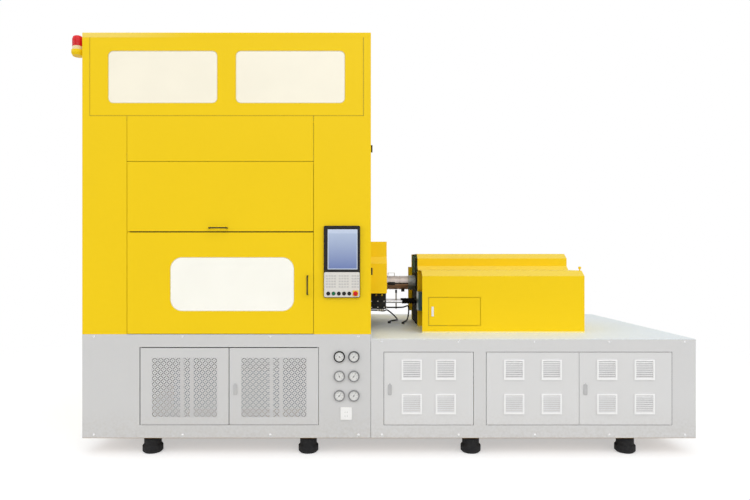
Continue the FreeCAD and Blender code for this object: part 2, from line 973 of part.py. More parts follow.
def hydraulic_unit():
    """The oil tank on the cross beams, with the pump's motor lying on its lid."""
    right, back = S.tank_left + S.tank_length, S.tank_front + S.tank_width
    top = BEAM_TOP + S.tank_height
    tank = box(S.tank_left, S.tank_front, BEAM_TOP, right, back, top)
    motor_x = S.tank_left + (S.tank_length - S.pump_length) / 2
    motor_y, motor_z = S.tank_front + S.tank_width / 2, top + S.pump_diameter / 2
    foot_side = S.pump_diameter / 4
    foot = box(
        motor_x, motor_y - foot_side, top, motor_x + S.pump_length, motor_y + foot_side, motor_z
    )
    motor = cylinder(motor_x, motor_y, motor_z, S.pump_diameter, S.pump_length, axis="x")
    sub_part("hydraulic_unit", fuse(tank, foot, motor))


# ---------------------------------------------------------------------------
# Doors
# ---------------------------------------------------------------------------


def pan(front, depth, left, low, right, high, holes=()):
    """A folded door pan: a skin at the front with returns on all four sides."""
    body = front_plate(front, depth, corners=(left, low, right, high))
    inside = sketch_on(body, "XZ_Plane", 0 - S.door_skin)
    wall = S.door_skin
    rectangle(inside, left + wall, low + wall, right - wall, high - wall)
    pocket(body, inside, depth)
    if holes:
        sketch = sketch_on(body, "XZ_Plane")
        for draw in holes:
            draw(sketch)
        pocket(body, sketch, S.door_skin * 2)
    return body


def door_pins(x, y, low, high, bottom_seat, top_seat):
    """The upper and lower pivot pins of a door, from its returns into their seats."""
    into = S.pivot_engagement
    bottom = bottom_seat - into
    top = top_seat + into
    wall = S.door_skin
    return [
        cylinder(x, y, bottom, S.pivot_diameter, low + wall - bottom),
        cylinder(x, y, high - wall, S.pivot_diameter, top - high + wall),
    ]


LATCH_TOP = S.latch_middle + S.latch_height / 2
LATCH_AXIS_Y = 0 - S.latch_gap - S.latch_thickness / 2


def latch(name, x):
    """A flush oblong pull that tilts out about a knuckle on its upper edge."""
    body = body_at(0, 0 - S.latch_gap - S.latch_thickness, 0)
    sketch = sketch_on(body, "XZ_Plane")
    low = S.latch_middle - S.latch_height / 2
    left = x - S.latch_width / 2
    knuckle_radius = S.latch_thickness / 2
    height = S.latch_height - 3 * knuckle_radius
    rounded_rectangle(sketch, left, low, S.latch_width, height, S.latch_width * 0.3)
    pad(body, sketch, S.latch_thickness)
    axis_z = LATCH_TOP - knuckle_radius
    web_half = S.latch_width / 4
    web = box(
        x - web_half,
        LATCH_AXIS_Y - knuckle_radius,
        low + height / 2,
        x + web_half,
        LATCH_AXIS_Y + knuckle_radius,
        axis_z,
    )
    knuckle = cylinder(
        x - web_half, LATCH_AXIS_Y, axis_z, S.latch_thickness, 2 * web_half, axis="x"
    )
    bore = cylinder(
        x - web_half,
        LATCH_AXIS_Y,
        axis_z,
        S.latch_pin_diameter + 2 * S.running_clearance,
        2 * web_half,
        axis="x",
    )
    sub_part(name, cut(fuse(body, web, knuckle), bore))


def latch_ears(x):
    """The door's own pin and two ears that carry a latch."""
    radius, ear = S.latch_thickness / 2, S.latch_ear_width
    axis_z = LATCH_TOP - radius
    half = S.latch_width / 4 + S.latch_gap
    pieces = [
        box(
            left,
            LATCH_AXIS_Y - radius,
            axis_z - radius,
            left + ear,
            0,
            axis_z + radius,
        )
        for left in (x - half - ear, x + half)
    ]
    pin = cylinder(
        x - half - ear,
        LATCH_AXIS_Y,
        axis_z,
        S.latch_pin_diameter,
        2 * half + 2 * ear,
        axis="x",
    )
    return [*pieces, pin]


LEFT_SPLIT = (S.left_doorway_start + LEFT_DOORWAY_END) / 2
RIGHT_SPLIT = (DOUBLE_DOORWAY_START + DOUBLE_DOORWAY_END) / 2
LATCH_PLACES = {
    "perforated_door_right": LEFT_SPLIT + S.door_gap + S.latch_inset,
    "base_door_1": SINGLE_DOORWAY_START + S.door_gap + S.latch_inset,
    "base_door_3": RIGHT_SPLIT + S.door_gap + S.latch_inset,
}


def latches():
    """The pulls of the perforated doors and of the louvred doors."""
    latch("perforated_door_latch", LATCH_PLACES["perforated_door_right"])
    latch("base_door_1_latch", LATCH_PLACES["base_door_1"])
    latch("base_door_3_latch", LATCH_PLACES["base_door_3"])


def vent(x, z):
    """A square louvre: a frame that stands proud of the door, and its sloping slats."""
    half, inner, proud = S.vent_size / 2, S.vent_opening / 2, S.vent_proud
    frame = front_plate(
        0 - proud,
        proud,
        holes=[lambda sketch: rectangle(sketch, x - inner, z - inner, x + inner, z + inner)],
        corners=(x - half, z - half, x + half, z + half),
    )
    count = SIZES["vent_slats"]
    pitch = S.vent_opening / count
    slats = []
    for i in range(count):
        low = z - inner + pitch * i
        thick = S.vent_slat_thickness
        points = [
            (0 - proud, low),
            (0 - proud, low + thick),
            (0 - thick / 4, low + pitch * 0.8),
            (0 - thick / 4, low + pitch * 0.8 - thick),
        ]
        slats.append(side_profile(x - inner, S.vent_opening, points))
    return fuse(frame, *slats)


def vent_hole(x, z):
    """The opening in the door's skin behind a louvre."""
    inner = S.vent_opening / 2
    return lambda sketch: rectangle(sketch, x - inner, z - inner, x + inner, z + inner)


def base_doors():
    """The three louvred doors of the right base."""
    low = S.right_doorway_bottom + S.door_gap
    high = S.right_doorway_top - S.door_gap
    gap = S.door_gap
    split = RIGHT_SPLIT
    doors = (
        (
            "base_door_1",
            SINGLE_DOORWAY_START + gap,
            SINGLE_DOORWAY_END - gap,
            RIGHT_PIVOTS[0],
            S.single_vent_spacing,
        ),
        (
            "base_door_2",
            DOUBLE_DOORWAY_START + gap,
            split - gap / 2,
            RIGHT_PIVOTS[1],
            S.double_vent_spacing,
        ),
        (
            "base_door_3",
            split + gap / 2,
            DOUBLE_DOORWAY_END - gap,
            RIGHT_PIVOTS[2],
            S.double_vent_spacing,
        ),
    )
    for name, left, right, pivot, spacing in doors:
        middle = (left + right) / 2
        spots = [
            (middle + spacing * side, row)
            for side in (-0.5, 0.5)
            for row in (S.vent_row_low, S.vent_row_high)
        ]
        skin = pan(
            0, S.door_depth, left, low, right, high, holes=[vent_hole(x, z) for x, z in spots]
        )
        pins = door_pins(pivot, S.pivot_depth, low, high, BEAM_TOP, DECK_BEAM_BOTTOM)
        vents = [vent(x, z) for x, z in spots]
        ears = latch_ears(LATCH_PLACES[name]) if name in LATCH_PLACES else []
        sub_part(name, fuse(skin, *pins, *vents, *ears))


def perforated_doors():
    """The two doors of the left base, each with a field of diamond holes."""
    low = S.left_doorway_bottom + S.door_gap
    high = S.left_doorway_top - S.door_gap
    gap, pitch = S.door_gap, S.perforation_pitch
    half = S.perforation_width / 2
    split = LEFT_SPLIT
    rail_low = BED_BOTTOM - S.frame_tube
    columns, rows = SIZES["perforation_columns"], SIZES["perforation_rows"]
    doors = (
        ("perforated_door_left", S.left_doorway_start + gap, split - gap / 2, LEFT_PIVOTS[0]),
        ("perforated_door_right", split + gap / 2, LEFT_DOORWAY_END - gap, LEFT_PIVOTS[1]),
    )
    for name, left, right, pivot in doors:
        body = pan(0, S.door_depth, left, low, right, high)
        sketch = sketch_on(body, "XZ_Plane")
        x = (left + right) / 2 - pitch * (columns - 1) / 2
        z = (low + high) / 2 - pitch * (rows - 1) / 2
        outline(sketch, [(x, z - half), (x + half, z), (x, z + half), (x - half, z)])
        hole = pocket(body, sketch, S.door_skin * 2)
        rows_and_columns = body.newObject("PartDesign::MultiTransform", "Perforation")
        patterns = []
        for direction, count in (("H_Axis", columns), ("V_Axis", rows)):
            pattern = body.newObject("PartDesign::LinearPattern", "Pattern")
            pattern.Direction = (sketch, [direction])
            pattern.Occurrences = count
            bind(pattern, Length=pitch * (count - 1))
            patterns.append(pattern)
        rows_and_columns.Originals = [hole]
        rows_and_columns.Transformations = patterns
        body.Tip = rows_and_columns
        pins = door_pins(pivot, S.pivot_depth, low, high, BEAM_TOP, rail_low)
        ears = latch_ears(LATCH_PLACES[name]) if name in LATCH_PLACES else []
        sub_part(name, fuse(body, *pins, *ears))


# ---------------------------------------------------------------------------
# Tower
# ---------------------------------------------------------------------------

TOWER_SKIN = S.tower_skin
TOWER_BACK = S.depth - TOWER_SKIN
TOWER_RIGHT = S.left_length - TOWER_SKIN
FLOOR = S.left_base_top
WALL_TOP = S.tower_top - S.roof_lip
LIFT_DOOR_TOP = S.header_bottom - S.door_gap
LIFT_PIVOT_Z = LIFT_DOOR_TOP - S.pivot_inset
DOOR_LEFT = S.left_column_width + S.door_gap
DOOR_RIGHT = RIGHT_COLUMN - S.door_gap


def tower_frame():
    """Corner posts, the top ring, and the rails behind the header and between the doors."""
    post, rail = S.post_size, S.rail_size
    left, right = TOWER_SKIN, TOWER_RIGHT
    ring_low = WALL_TOP - post
    pieces = []
    for x in (left, right - post):
        for y in (TOWER_SKIN, TOWER_BACK - post):
            pieces.append(box(x, y, FLOOR, x + post, y + post, WALL_TOP))
        pieces.append(
            box(x, TOWER_SKIN + post, ring_low, x + post, TOWER_BACK - post, WALL_TOP)
        )
    inner_left, inner_right = left + post, right - post
    for y in (TOWER_SKIN, TOWER_BACK - post):
        pieces.append(box(inner_left, y, ring_low, inner_right, y + post, WALL_TOP))
    header_low = S.header_bottom + 3 * S.seam
    upper_low = S.window_panel_bottom - rail / 2
    behind_doors = TOWER_SKIN + S.column_return + S.seam
    middle_low = (S.front_door_top + S.lift_door_bottom - rail) / 2
    for y, low in (
        (TOWER_SKIN, header_low),
        (TOWER_SKIN, upper_low),
        (behind_doors, middle_low),
        (TOWER_BACK - rail, header_low),
    ):
        pieces.append(box(inner_left, y, low, inner_right, y + rail, low + rail))
    sub_part("tower_frame", group(*pieces))


def tower_walls():
    """The left wall, the rear wall and the roof."""
    sub_part(
        "tower_left_wall", box(0, TOWER_SKIN, FLOOR, TOWER_SKIN, TOWER_BACK, WALL_TOP)
    )
    sub_part("tower_rear_wall", box(0, TOWER_BACK, FLOOR, S.left_length, S.depth, WALL_TOP))
    cap = box(0, 0, WALL_TOP, S.left_length, S.depth, S.tower_top)
    rounded = doc.addObject("Part::Fillet", "RoundedCap")
    rounded.Base = cap
    doc.recompute()
    top = S.tower_top.number
    turn = S.tower_skin.number * 3
    rounded.Edges = [
        (number, turn, turn)
        for number, edge in enumerate(cap.Shape.Edges, start=1)
        if min(vertex.Z for vertex in edge.Vertexes) > top - 1
    ]
    inside = box(
        TOWER_SKIN, TOWER_SKIN, WALL_TOP, TOWER_RIGHT, TOWER_BACK, S.tower_top - TOWER_SKIN
    )
    sub_part("tower_roof", cut(rounded, inside))


def hinge_knuckle(height, low, high, leaf_front, leaf_back, pin_low=None):
    """One half of a barrel hinge: a knuckle with its leaf, and a pin if pin_low is given."""
    axis_x = S.left_length + S.hinge_clearance + S.hinge_diameter / 2
    axis_y = S.side_door_front - S.door_gap / 2
    knuckle = cylinder(axis_x, axis_y, height + low, S.hinge_diameter, high - low)
    leaf = box(
        S.left_length,
        leaf_front,
        height + low,
        S.left_length + S.hinge_leaf_thickness,
        leaf_back,
        height + high,
    )
    pieces = [knuckle, leaf]
    if pin_low is not None:
        pieces.append(
            cylinder(axis_x, axis_y, height + pin_low, S.hinge_pin_diameter, S.hinge_length)
        )
    return fuse(*pieces)


def tower_right_wall():
    """The right wall, with the side doorway, the nozzle's hole and the fixed hinge halves."""
    gap = S.door_gap
    door_back = S.side_door_front + S.side_door_width
    wall = side_profile(
        TOWER_RIGHT,
        TOWER_SKIN,
        [(TOWER_SKIN, FLOOR), (TOWER_BACK, FLOOR), (TOWER_BACK, WALL_TOP), (TOWER_SKIN, WALL_TOP)],
        holes=[
            lambda sketch: rectangle(
                sketch,
                S.side_door_front - gap,
                S.side_door_bottom - gap,
                door_back + gap,
                S.side_door_bottom + S.side_door_height + gap,
            ),
            lambda sketch: circle(sketch, S.barrel_y, S.barrel_z, S.barrel_hole),
        ],
    )
    half = S.hinge_length / 2
    leaf_back = S.side_door_front - gap
    halves = [
        hinge_knuckle(
            z, half * -1, half * 0 - 0.15, leaf_back - S.hinge_leaf, leaf_back, pin_low=half * -1
        )
        for z in (S.hinge_low, S.hinge_high)
    ]
    sub_part("tower_right_wall", fuse(wall, *halves))


def side_door():
    """The narrow service door in the right wall, with its hinge halves."""
    back = S.side_door_front + S.side_door_width
    low, high = S.side_door_bottom, S.side_door_bottom + S.side_door_height
    right = S.left_length
    wall = S.door_skin
    outer = box(right - S.door_depth, S.side_door_front, low, right, back, high)
    inner = box(
        right - S.door_depth, S.side_door_front + wall, low + wall, right - wall, back - wall, high - wall
    )
    half = S.hinge_length / 2
    halves = []
    for z in (S.hinge_low, S.hinge_high):
        bore = cylinder(
            S.left_length + S.hinge_clearance + S.hinge_diameter / 2,
            S.side_door_front - S.door_gap / 2,
            z,
            S.hinge_pin_diameter + 2 * S.running_clearance,
            S.hinge_length,
        )
        leaf_front = S.side_door_front
        solid = hinge_knuckle(z, half * 0 + 0.15, half, leaf_front, leaf_front + S.hinge_leaf)
        halves.append(cut(solid, bore))
    sub_part("side_door", fuse(cut(outer, inner), *halves))


def column_panel(name, outer, inner, strip_inner, flange, lug=None):
    """An L-shaped front sheet beside the doors, with a return along the doorway."""
    low, step, top = FLOOR, S.window_panel_bottom, WALL_TOP
    sheet_body = front_plate(
        0,
        TOWER_SKIN,
        points=[
            (outer, low),
            (inner, low),
            (inner, step),
            (strip_inner, step),
            (strip_inner, top),
            (outer, top),
        ],
    )
    back = TOWER_SKIN + S.column_return
    returned = box(flange[0], 0, low, flange[1], back, S.header_bottom)
    pieces = [sheet_body, returned]
    if lug:
        pieces.append(lug)
    pin_bore = cylinder(
        flange[0] - S.door_gap,
        S.pivot_depth,
        LIFT_PIVOT_Z,
        BORE,
        TOWER_SKIN + 2 * S.door_gap,
        axis="x",
    )
    tools = [pin_bore]
    if lug:
        tools.append(
            cylinder(
                S.left_column_width + PIVOT,
                S.pivot_depth,
                S.front_door_top,
                BORE,
                S.lift_door_bottom - S.front_door_top,
            )
        )
    sub_part(name, cut(fuse(*pieces), *tools))


def tower_front():
    """The column sheets, the header sheet and the window sheet with its two panes."""
    left = S.left_column_width
    lug_low = (S.front_door_top + S.lift_door_bottom - S.lug_thickness) / 2
    lug = box(
        left - S.column_return_setback,
        TOWER_SKIN,
        lug_low,
        left + PIVOT + S.pivot_diameter,
        TOWER_SKIN + S.lug_size,
        lug_low + S.lug_thickness,
    )
    right = RIGHT_COLUMN
    near, far = S.column_return_setback, S.column_return_setback + TOWER_SKIN
    column_panel("left_column_panel", 0, left, S.strip_width, (left - far, left - near), lug=lug)
    column_panel(
        "right_column_panel",
        S.left_length,
        right,
        S.left_length - S.strip_width,
        (right + near, right + far),
    )
    seam = S.seam
    header = front_plate(
        0,
        TOWER_SKIN,
        corners=(left + seam, S.header_bottom, right - seam, S.window_panel_bottom),
    )
    sub_part("header_panel", header)
    windows = (
        (S.window_margin, WINDOW_WIDTH),
        (S.window_margin + WINDOW_WIDTH + S.window_spacing, WINDOW_WIDTH),
    )
    corner = S.window_corner

    def window(start, width):
        low, height = S.window_bottom, S.window_height
        return lambda sketch: rounded_rectangle(sketch, start, low, width, height, corner)

    window_sheet = front_plate(
        0,
        TOWER_SKIN,
        holes=[window(start, width) for start, width in windows],
        corners=(
            S.strip_width + seam,
            S.window_panel_bottom + seam,
            S.left_length - S.strip_width - seam,
            WALL_TOP,
        ),
    )
    sub_part("window_panel", window_sheet)
    over = S.pane_overlap
    panes = [
        box(
            start - over,
            TOWER_SKIN,
            S.window_bottom - over,
            start + width + over,
            TOWER_SKIN + S.pane_thickness,
            S.window_bottom + S.window_height + over,
        )
        for start, width in windows
    ]
    sub_part("window_panes", group(*panes))


def bow_handle(name, start, along, length):
    """A round bar bent out to a grip and back: start is its first foot on the door."""
    reach, bend = S.handle_reach.number, S.handle_bend.number
    out = FreeCAD.Vector(0, -1, 0)
    end = start + along * length
    grip_start, grip_end = start + out * reach, end + out * reach
    turn = bend * (1 - math.sqrt(0.5))
    parts = [
        Part.LineSegment(start, grip_start - out * bend),
        Part.Arc(
            grip_start - out * bend,
            grip_start - out * turn + along * turn,
            grip_start + along * bend,
        ),
        Part.LineSegment(grip_start + along * bend, grip_end - along * bend),
        Part.Arc(
            grip_end - along * bend,
            grip_end - out * turn - along * turn,
            grip_end - out * bend,
        ),
        Part.LineSegment(grip_end - out * bend, end),
    ]
    path = Part.Wire([piece.toShape() for piece in parts])
    section = Part.Wire(Part.makeCircle(S.handle_diameter.number / 2, start, out))
    bar = path.makePipeShell([section], True, False)
    sub_part(name, plain_shape(bar))


def tower_doors():
    """The front door with its window, and the lift door above it, each with a handle."""
    low, high = S.front_door_bottom, S.front_door_top
    opening = (
        DOOR_WINDOW_LEFT,
        S.door_window_bottom,
        DOOR_WINDOW_WIDTH,
        S.door_window_height,
        S.door_window_corner,
    )
    front = pan(
        0,
        S.door_depth,
        DOOR_LEFT,
        low,
        DOOR_RIGHT,
        high,
        holes=[lambda sketch: rounded_rectangle(sketch, *opening)],
    )
    lug_low = (high + S.lift_door_bottom - S.lug_thickness) / 2
    pins = door_pins(
        S.left_column_width + PIVOT,
        S.pivot_depth,
        low,
        high,
        FLOOR,
        lug_low + S.lug_thickness - S.pivot_engagement,
    )
    sub_part("front_door", fuse(front, *pins))
    over = S.pane_overlap
    skin = S.door_skin
    pane = box(
        DOOR_WINDOW_LEFT - over,
        skin,
        S.door_window_bottom - over,
        DOOR_WINDOW_LEFT + DOOR_WINDOW_WIDTH + over,
        skin + S.pane_thickness,
        S.door_window_bottom + S.door_window_height + over,
    )
    sub_part("front_door_window", pane)
    up = FreeCAD.Vector(0, 0, 1)
    across = FreeCAD.Vector(1, 0, 0)
    foot = point(FRONT_HANDLE_X, 0, S.front_handle_bottom)
    bow_handle("front_door_handle", foot, up, S.front_handle_length.number)

    lift = pan(0, S.door_depth, DOOR_LEFT, S.lift_door_bottom, DOOR_RIGHT, LIFT_DOOR_TOP)
    reach = S.door_gap + S.column_return_setback + TOWER_SKIN + S.door_gap
    wall = S.door_skin
    left_pin = cylinder(
        DOOR_LEFT - reach, S.pivot_depth, LIFT_PIVOT_Z, S.pivot_diameter, reach + wall, axis="x"
    )
    right_pin = cylinder(
        DOOR_RIGHT - wall, S.pivot_depth, LIFT_PIVOT_Z, S.pivot_diameter, reach + wall, axis="x"
    )
    sub_part("lift_door", fuse(lift, left_pin, right_pin))
    foot = point(LIFT_HANDLE_X - S.lift_handle_length / 2, 0, S.lift_handle_height)
    bow_handle("lift_door_handle", foot, across, S.lift_handle_length.number)


# ---------------------------------------------------------------------------
# Operator panel and beacon
# ---------------------------------------------------------------------------

PANEL_FRONT = 0 - S.panel_proud
KEY_FRONT = PANEL_FRONT - S.key_panel_thickness


def button_places():
    """Where the five push buttons stand along the bottom of the key panel."""
    return [BUTTON_FIRST + S.button_pitch * i for i in range(5)]


def operator_panel():
    """The housing, its screen, the key panel, five push buttons and the emergency stop."""
    body = body_at(0, PANEL_FRONT, 0)
    sketch = sketch_on(body, "XZ_Plane")
    rounded_rectangle(
        sketch, PANEL_LEFT, S.panel_bottom, S.panel_width, S.panel_height, S.panel_corner
    )
    pad(body, sketch, S.panel_proud)
    recess = sketch_on(body, "XZ_Plane")
    screen_right = SCREEN_LEFT + S.screen_width
    screen_top = SCREEN_BOTTOM + S.screen_height
    rectangle(recess, SCREEN_LEFT, SCREEN_BOTTOM, screen_right, screen_top)
    pocket(body, recess, S.screen_recess)
    bores = sketch_on(body, "XZ_Plane")
    cap_bore = S.button_diameter + 2 * S.running_clearance
    stop_bore = S.stop_stem_diameter + 2 * S.running_clearance
    for x in button_places():
        circle(bores, x, BUTTON_Z, cap_bore)
    circle(bores, STOP_X, BUTTON_Z, stop_bore)
    pocket(body, bores, S.button_bore_depth)
    sub_part("control_housing", body)

    edge = 0.5
    screen_front = PANEL_FRONT + S.screen_recess - S.screen_thickness
    screen = box(
        SCREEN_LEFT + edge,
        screen_front,
        SCREEN_BOTTOM + edge,
        screen_right - edge,
        screen_front + S.screen_thickness,
        screen_top - edge,
    )
    sub_part("display_screen", screen)

    margin = S.key_panel_margin
    keys = body_at(0, KEY_FRONT, 0)
    sketch = sketch_on(keys, "XZ_Plane")
    rounded_rectangle(
        sketch,
        PANEL_LEFT + margin,
        S.panel_bottom + margin,
        S.panel_width - 2 * margin,
        S.key_panel_height - 2 * margin,
        S.panel_corner - margin / 2,
    )
    for x in button_places():
        circle(sketch, x, BUTTON_Z, cap_bore)
    circle(sketch, STOP_X, BUTTON_Z, stop_bore)
    pad(keys, sketch, S.key_panel_thickness)
    half = S.stop_plate / 2
    ring = front_plate(
        KEY_FRONT - S.stop_plate_thickness,
        S.stop_plate_thickness,
        holes=[lambda sketch: circle(sketch, STOP_X, BUTTON_Z, stop_bore)],
        corners=(
            STOP_X - half,
            BUTTON_Z - half * 0.9,
            STOP_X + half,
            BUTTON_Z + half * 1.1,
        ),
    )
    sub_part("key_panel", fuse(keys, ring))

    edge = S.button_proud / 4
    radius = S.button_diameter / 2
    length = S.button_proud + S.key_panel_thickness + S.button_bore_depth - S.button_travel - 1
    cap_profile = [
        (0, 0 - length),
        (radius, 0 - length),
        (radius, 0 - edge),
        (radius - edge, 0),
        (0, 0),
    ]
    names = ("button_1", "button_2", "button_3", "button_4", "button_5")
    for name, x in zip(names, button_places()):
        cap = turned(x, KEY_FRONT - S.button_proud, BUTTON_Z, cap_profile, axis="y")
        sub_part(name, cap)

    head, stem, rim = S.stop_diameter / 2, S.stop_stem_diameter / 2, S.stop_head / 4
    stem_length = S.stop_gap + S.stop_plate_thickness + S.key_panel_thickness
    stem_length = stem_length + S.button_bore_depth - S.stop_travel - 1
    mushroom = [
        (0, 0 - stem_length),
        (stem, 0 - stem_length),
        (stem, 0),
        (head - rim, 0),
        (head, rim),
        (head, S.stop_head * 0.6),
        (head * 0.8, S.stop_head * 0.9),
        (head * 0.4, S.stop_head),
        (0, S.stop_head),
    ]
    stop_back = KEY_FRONT - S.stop_plate_thickness - S.stop_gap
    stop = turned(STOP_X, stop_back, BUTTON_Z, mushroom, axis="y")
    sub_part("emergency_stop", stop)


def beacon():
    """The warning beacon on the left wall: bracket and collar, and the ribbed lens."""
    x, y, low = S.beacon_x, S.beacon_y, S.beacon_bottom
    plate = S.beacon_bracket_diameter / 2
    height = S.beacon_bracket_height
    collar = S.beacon_collar_diameter / 2
    collar_top = height + S.beacon_collar_height
    bracket = turned(
        x,
        y,
        low,
        [
            (0, 0),
            (plate * 0.8, 0),
            (plate, height * 0.5),
            (plate, height),
            (collar, height),
            (collar, collar_top),
            (0, collar_top),
        ],
    )
    arm = box(x, y - plate * 0.4, low + height / 2, 0, y + plate * 0.4, low + height)
    sub_part("beacon_base", fuse(bracket, arm))
    lens = S.beacon_lens_diameter / 2
    dome = S.beacon_lens_height
    ring = lens * 0.96
    lens_body = turned(
        x,
        y,
        low + collar_top,
        [
            (0, 0),
            (lens, 0),
            (lens, dome * 0.28),
            (ring, dome * 0.3),
            (ring, dome * 0.34),
            (lens, dome * 0.36),
            (lens, dome * 0.62),
            (ring, dome * 0.64),
            (ring, dome * 0.86),
            (lens * 0.8, dome * 0.96),
            (lens * 0.5, dome),
            (0, dome),
        ],
    )
    sub_part("beacon_lens", lens_body)


# ---------------------------------------------------------------------------
# Injection side
# ---------------------------------------------------------------------------


def nozzle_guard():
    """The yellow hood on the tower's right wall, over the nozzle, open to the wall and below."""
    skin = S.guard_skin

    def profile(inset, bottom):
        front = S.guard_front + inset
        return [
            (front, bottom),
            (S.guard_back - inset, bottom),
            (S.guard_back - inset, S.guard_top - inset),
            (front + S.guard_step, S.guard_top - inset),
            (front + S.guard_step, S.guard_shoulder_high - inset / 2),
            (front, S.guard_shoulder_low - inset / 2),
        ]

    low = S.guard_bottom
    outer = side_profile(S.left_length, S.guard_reach, profile(0, low))
    inner = side_profile(S.left_length, S.guard_reach - skin, profile(skin, low - skin))
    end = S.left_length + S.guard_reach - 2 * skin
    hole = cylinder(end, S.barrel_y, S.barrel_z, S.barrel_hole, skin * 4, axis="x")
    sub_part("nozzle_guard", cut(outer, inner, hole))


def folded_cover(points, inside):
    """A cover with a closed right end and an open left end, from its outer and inner outline."""
    length = COVER_RIGHT - COVER_LEFT
    outer = side_profile(COVER_LEFT, length, points)
    inner = side_profile(COVER_LEFT, length - S.cover_skin, inside)
    return cut(outer, inner)


def covers():
    """The front cover with its doorway and knob, and the tall cover behind it."""
    skin, deck = S.cover_skin, S.right_base_top
    front, middle, back = S.cover_front, S.cover_middle, S.cover_back
    shoulder, top = S.front_cover_shoulder, S.front_cover_top
    fold = S.front_cover_fold
    shell = folded_cover(
        [(front, deck), (front, shoulder), (front + fold, top), (middle, top), (middle, deck)],
        [
            (front + skin, deck),
            (front + skin, shoulder - skin / 2),
            (front + fold + skin / 2, top - skin),
            (middle, top - skin),
            (middle, deck),
        ],
    )
    low, high = S.cover_doorway_bottom, S.cover_doorway_bottom + S.cover_doorway_height
    left = COVER_DOORWAY_LEFT
    right = left + S.cover_doorway_width
    doorway = box(left, front - skin, low, right, front + 2 * skin, high)
    pivot = right - PIVOT
    lug_back = front + skin + S.lug_size
    lugs = [
        box(pivot - S.pivot_diameter, front, z, right + S.lug_size, lug_back, z + S.lug_thickness)
        for z in (low - S.lug_thickness, high)
    ]
    bores = [
        cylinder(pivot, front + S.pivot_depth, z, BORE, S.lug_thickness)
        for z in (low - S.lug_thickness, high)
    ]
    ball, stem = S.knob_diameter / 2, S.knob_stem_diameter / 2
    height = S.knob_height
    knob = turned(
        COVER_RIGHT - S.knob_inset,
        front + fold + S.knob_inset,
        top - skin,
        [
            (0, 0),
            (stem, 0),
            (stem, height * 0.4),
            (ball * 0.8, height * 0.5),
            (ball, height * 0.7),
            (ball * 0.85, height * 0.9),
            (ball * 0.5, height),
            (0, height),
        ],
    )
    cover = cut(fuse(cut(shell, doorway), *lugs), *bores)
    sub_part("front_cover", fuse(cover, knob))

    top, shoulder, fold = S.tall_cover_top, S.tall_cover_shoulder, S.tall_cover_fold
    tall = folded_cover(
        [(middle, deck), (middle, shoulder), (middle + fold, top), (back, top), (back, deck)],
        [
            (middle + skin, deck),
            (middle + skin, shoulder - skin / 2),
            (middle + fold + skin / 2, top - skin),
            (back - skin, top - skin),
            (back - skin, deck),
        ],
    )
    lip_low = S.front_cover_top
    lip_high = lip_low + S.cover_lip_rise
    lip = side_profile(
        COVER_LEFT,
        COVER_RIGHT - COVER_LEFT,
        [
            (middle - S.cover_lip_run, lip_low),
            (middle, lip_low),
            (middle, lip_high),
        ],
    )
    strip = box(
        FAR_STRIP_LEFT, back - skin, S.far_strip_bottom, COVER_LEFT, back, S.far_strip_top
    )
    sub_part("tall_cover", fuse(tall, lip, strip))

    gap = S.door_gap
    skin_door = pan(
        front, S.cover_door_depth, left + gap, low + gap, right - gap, high - gap
    )
    into = S.lug_thickness - S.pivot_engagement
    pins = door_pins(
        pivot, front + S.pivot_depth, low + gap, high - gap, low - into, high + into
    )
    pull_left = left + S.cover_pull_inset
    pull_low = (low + high - S.cover_pull_height) / 2
    pull = box(
        pull_left,
        front - S.cover_pull_thickness,
        pull_low,
        pull_left + S.cover_pull_width,
        front,
        pull_low + S.cover_pull_height,
    )
    sub_part("cover_door", fuse(skin_door, pull, *pins))


ROD_FRONT = S.barrel_y - S.rod_spacing / 2
ROD_BACK = S.barrel_y + S.rod_spacing / 2


def injection_bed():
    """Bed beams on the deck, two guide rods from the tower to a stay, and the manifold."""
    deck = S.right_base_top
    bed_top = deck + S.bed_height
    half = S.bed_beam_width / 2
    start = UNIT_START + S.unit_stroke + S.unit_plate + S.plate_gap
    pieces = []
    for y in (ROD_FRONT, ROD_BACK):
        pieces.append(box(start, y - half, deck, start + S.bed_length, y + half, bed_top))
        rod_length = ROD_END - S.left_length
        pieces.append(
            cylinder(S.left_length, y, S.rod_z, S.rod_diameter, rod_length, axis="x")
        )
    pieces.append(
        box(
            ROD_END,
            ROD_FRONT - half,
            bed_top,
            ROD_END + S.rod_stay,
            ROD_BACK + half,
            S.rod_z + S.rod_diameter,
        )
    )
    left, back = COVER_LEFT - S.plate_gap, S.traverse_back
    right, front = left + S.traverse_length, back - S.traverse_width
    top = S.traverse_bottom + S.traverse_height
    middle = (front + back) / 2
    traverse = box(left, front, S.traverse_bottom, right, back, top)
    foot = box(
        left + S.traverse_foot,
        middle - S.traverse_foot / 2,
        deck,
        right,
        middle + S.traverse_foot / 2,
        S.traverse_bottom,
    )
    pieces.append(fuse(traverse, foot))
    sub_part("injection_bed", group(*pieces))


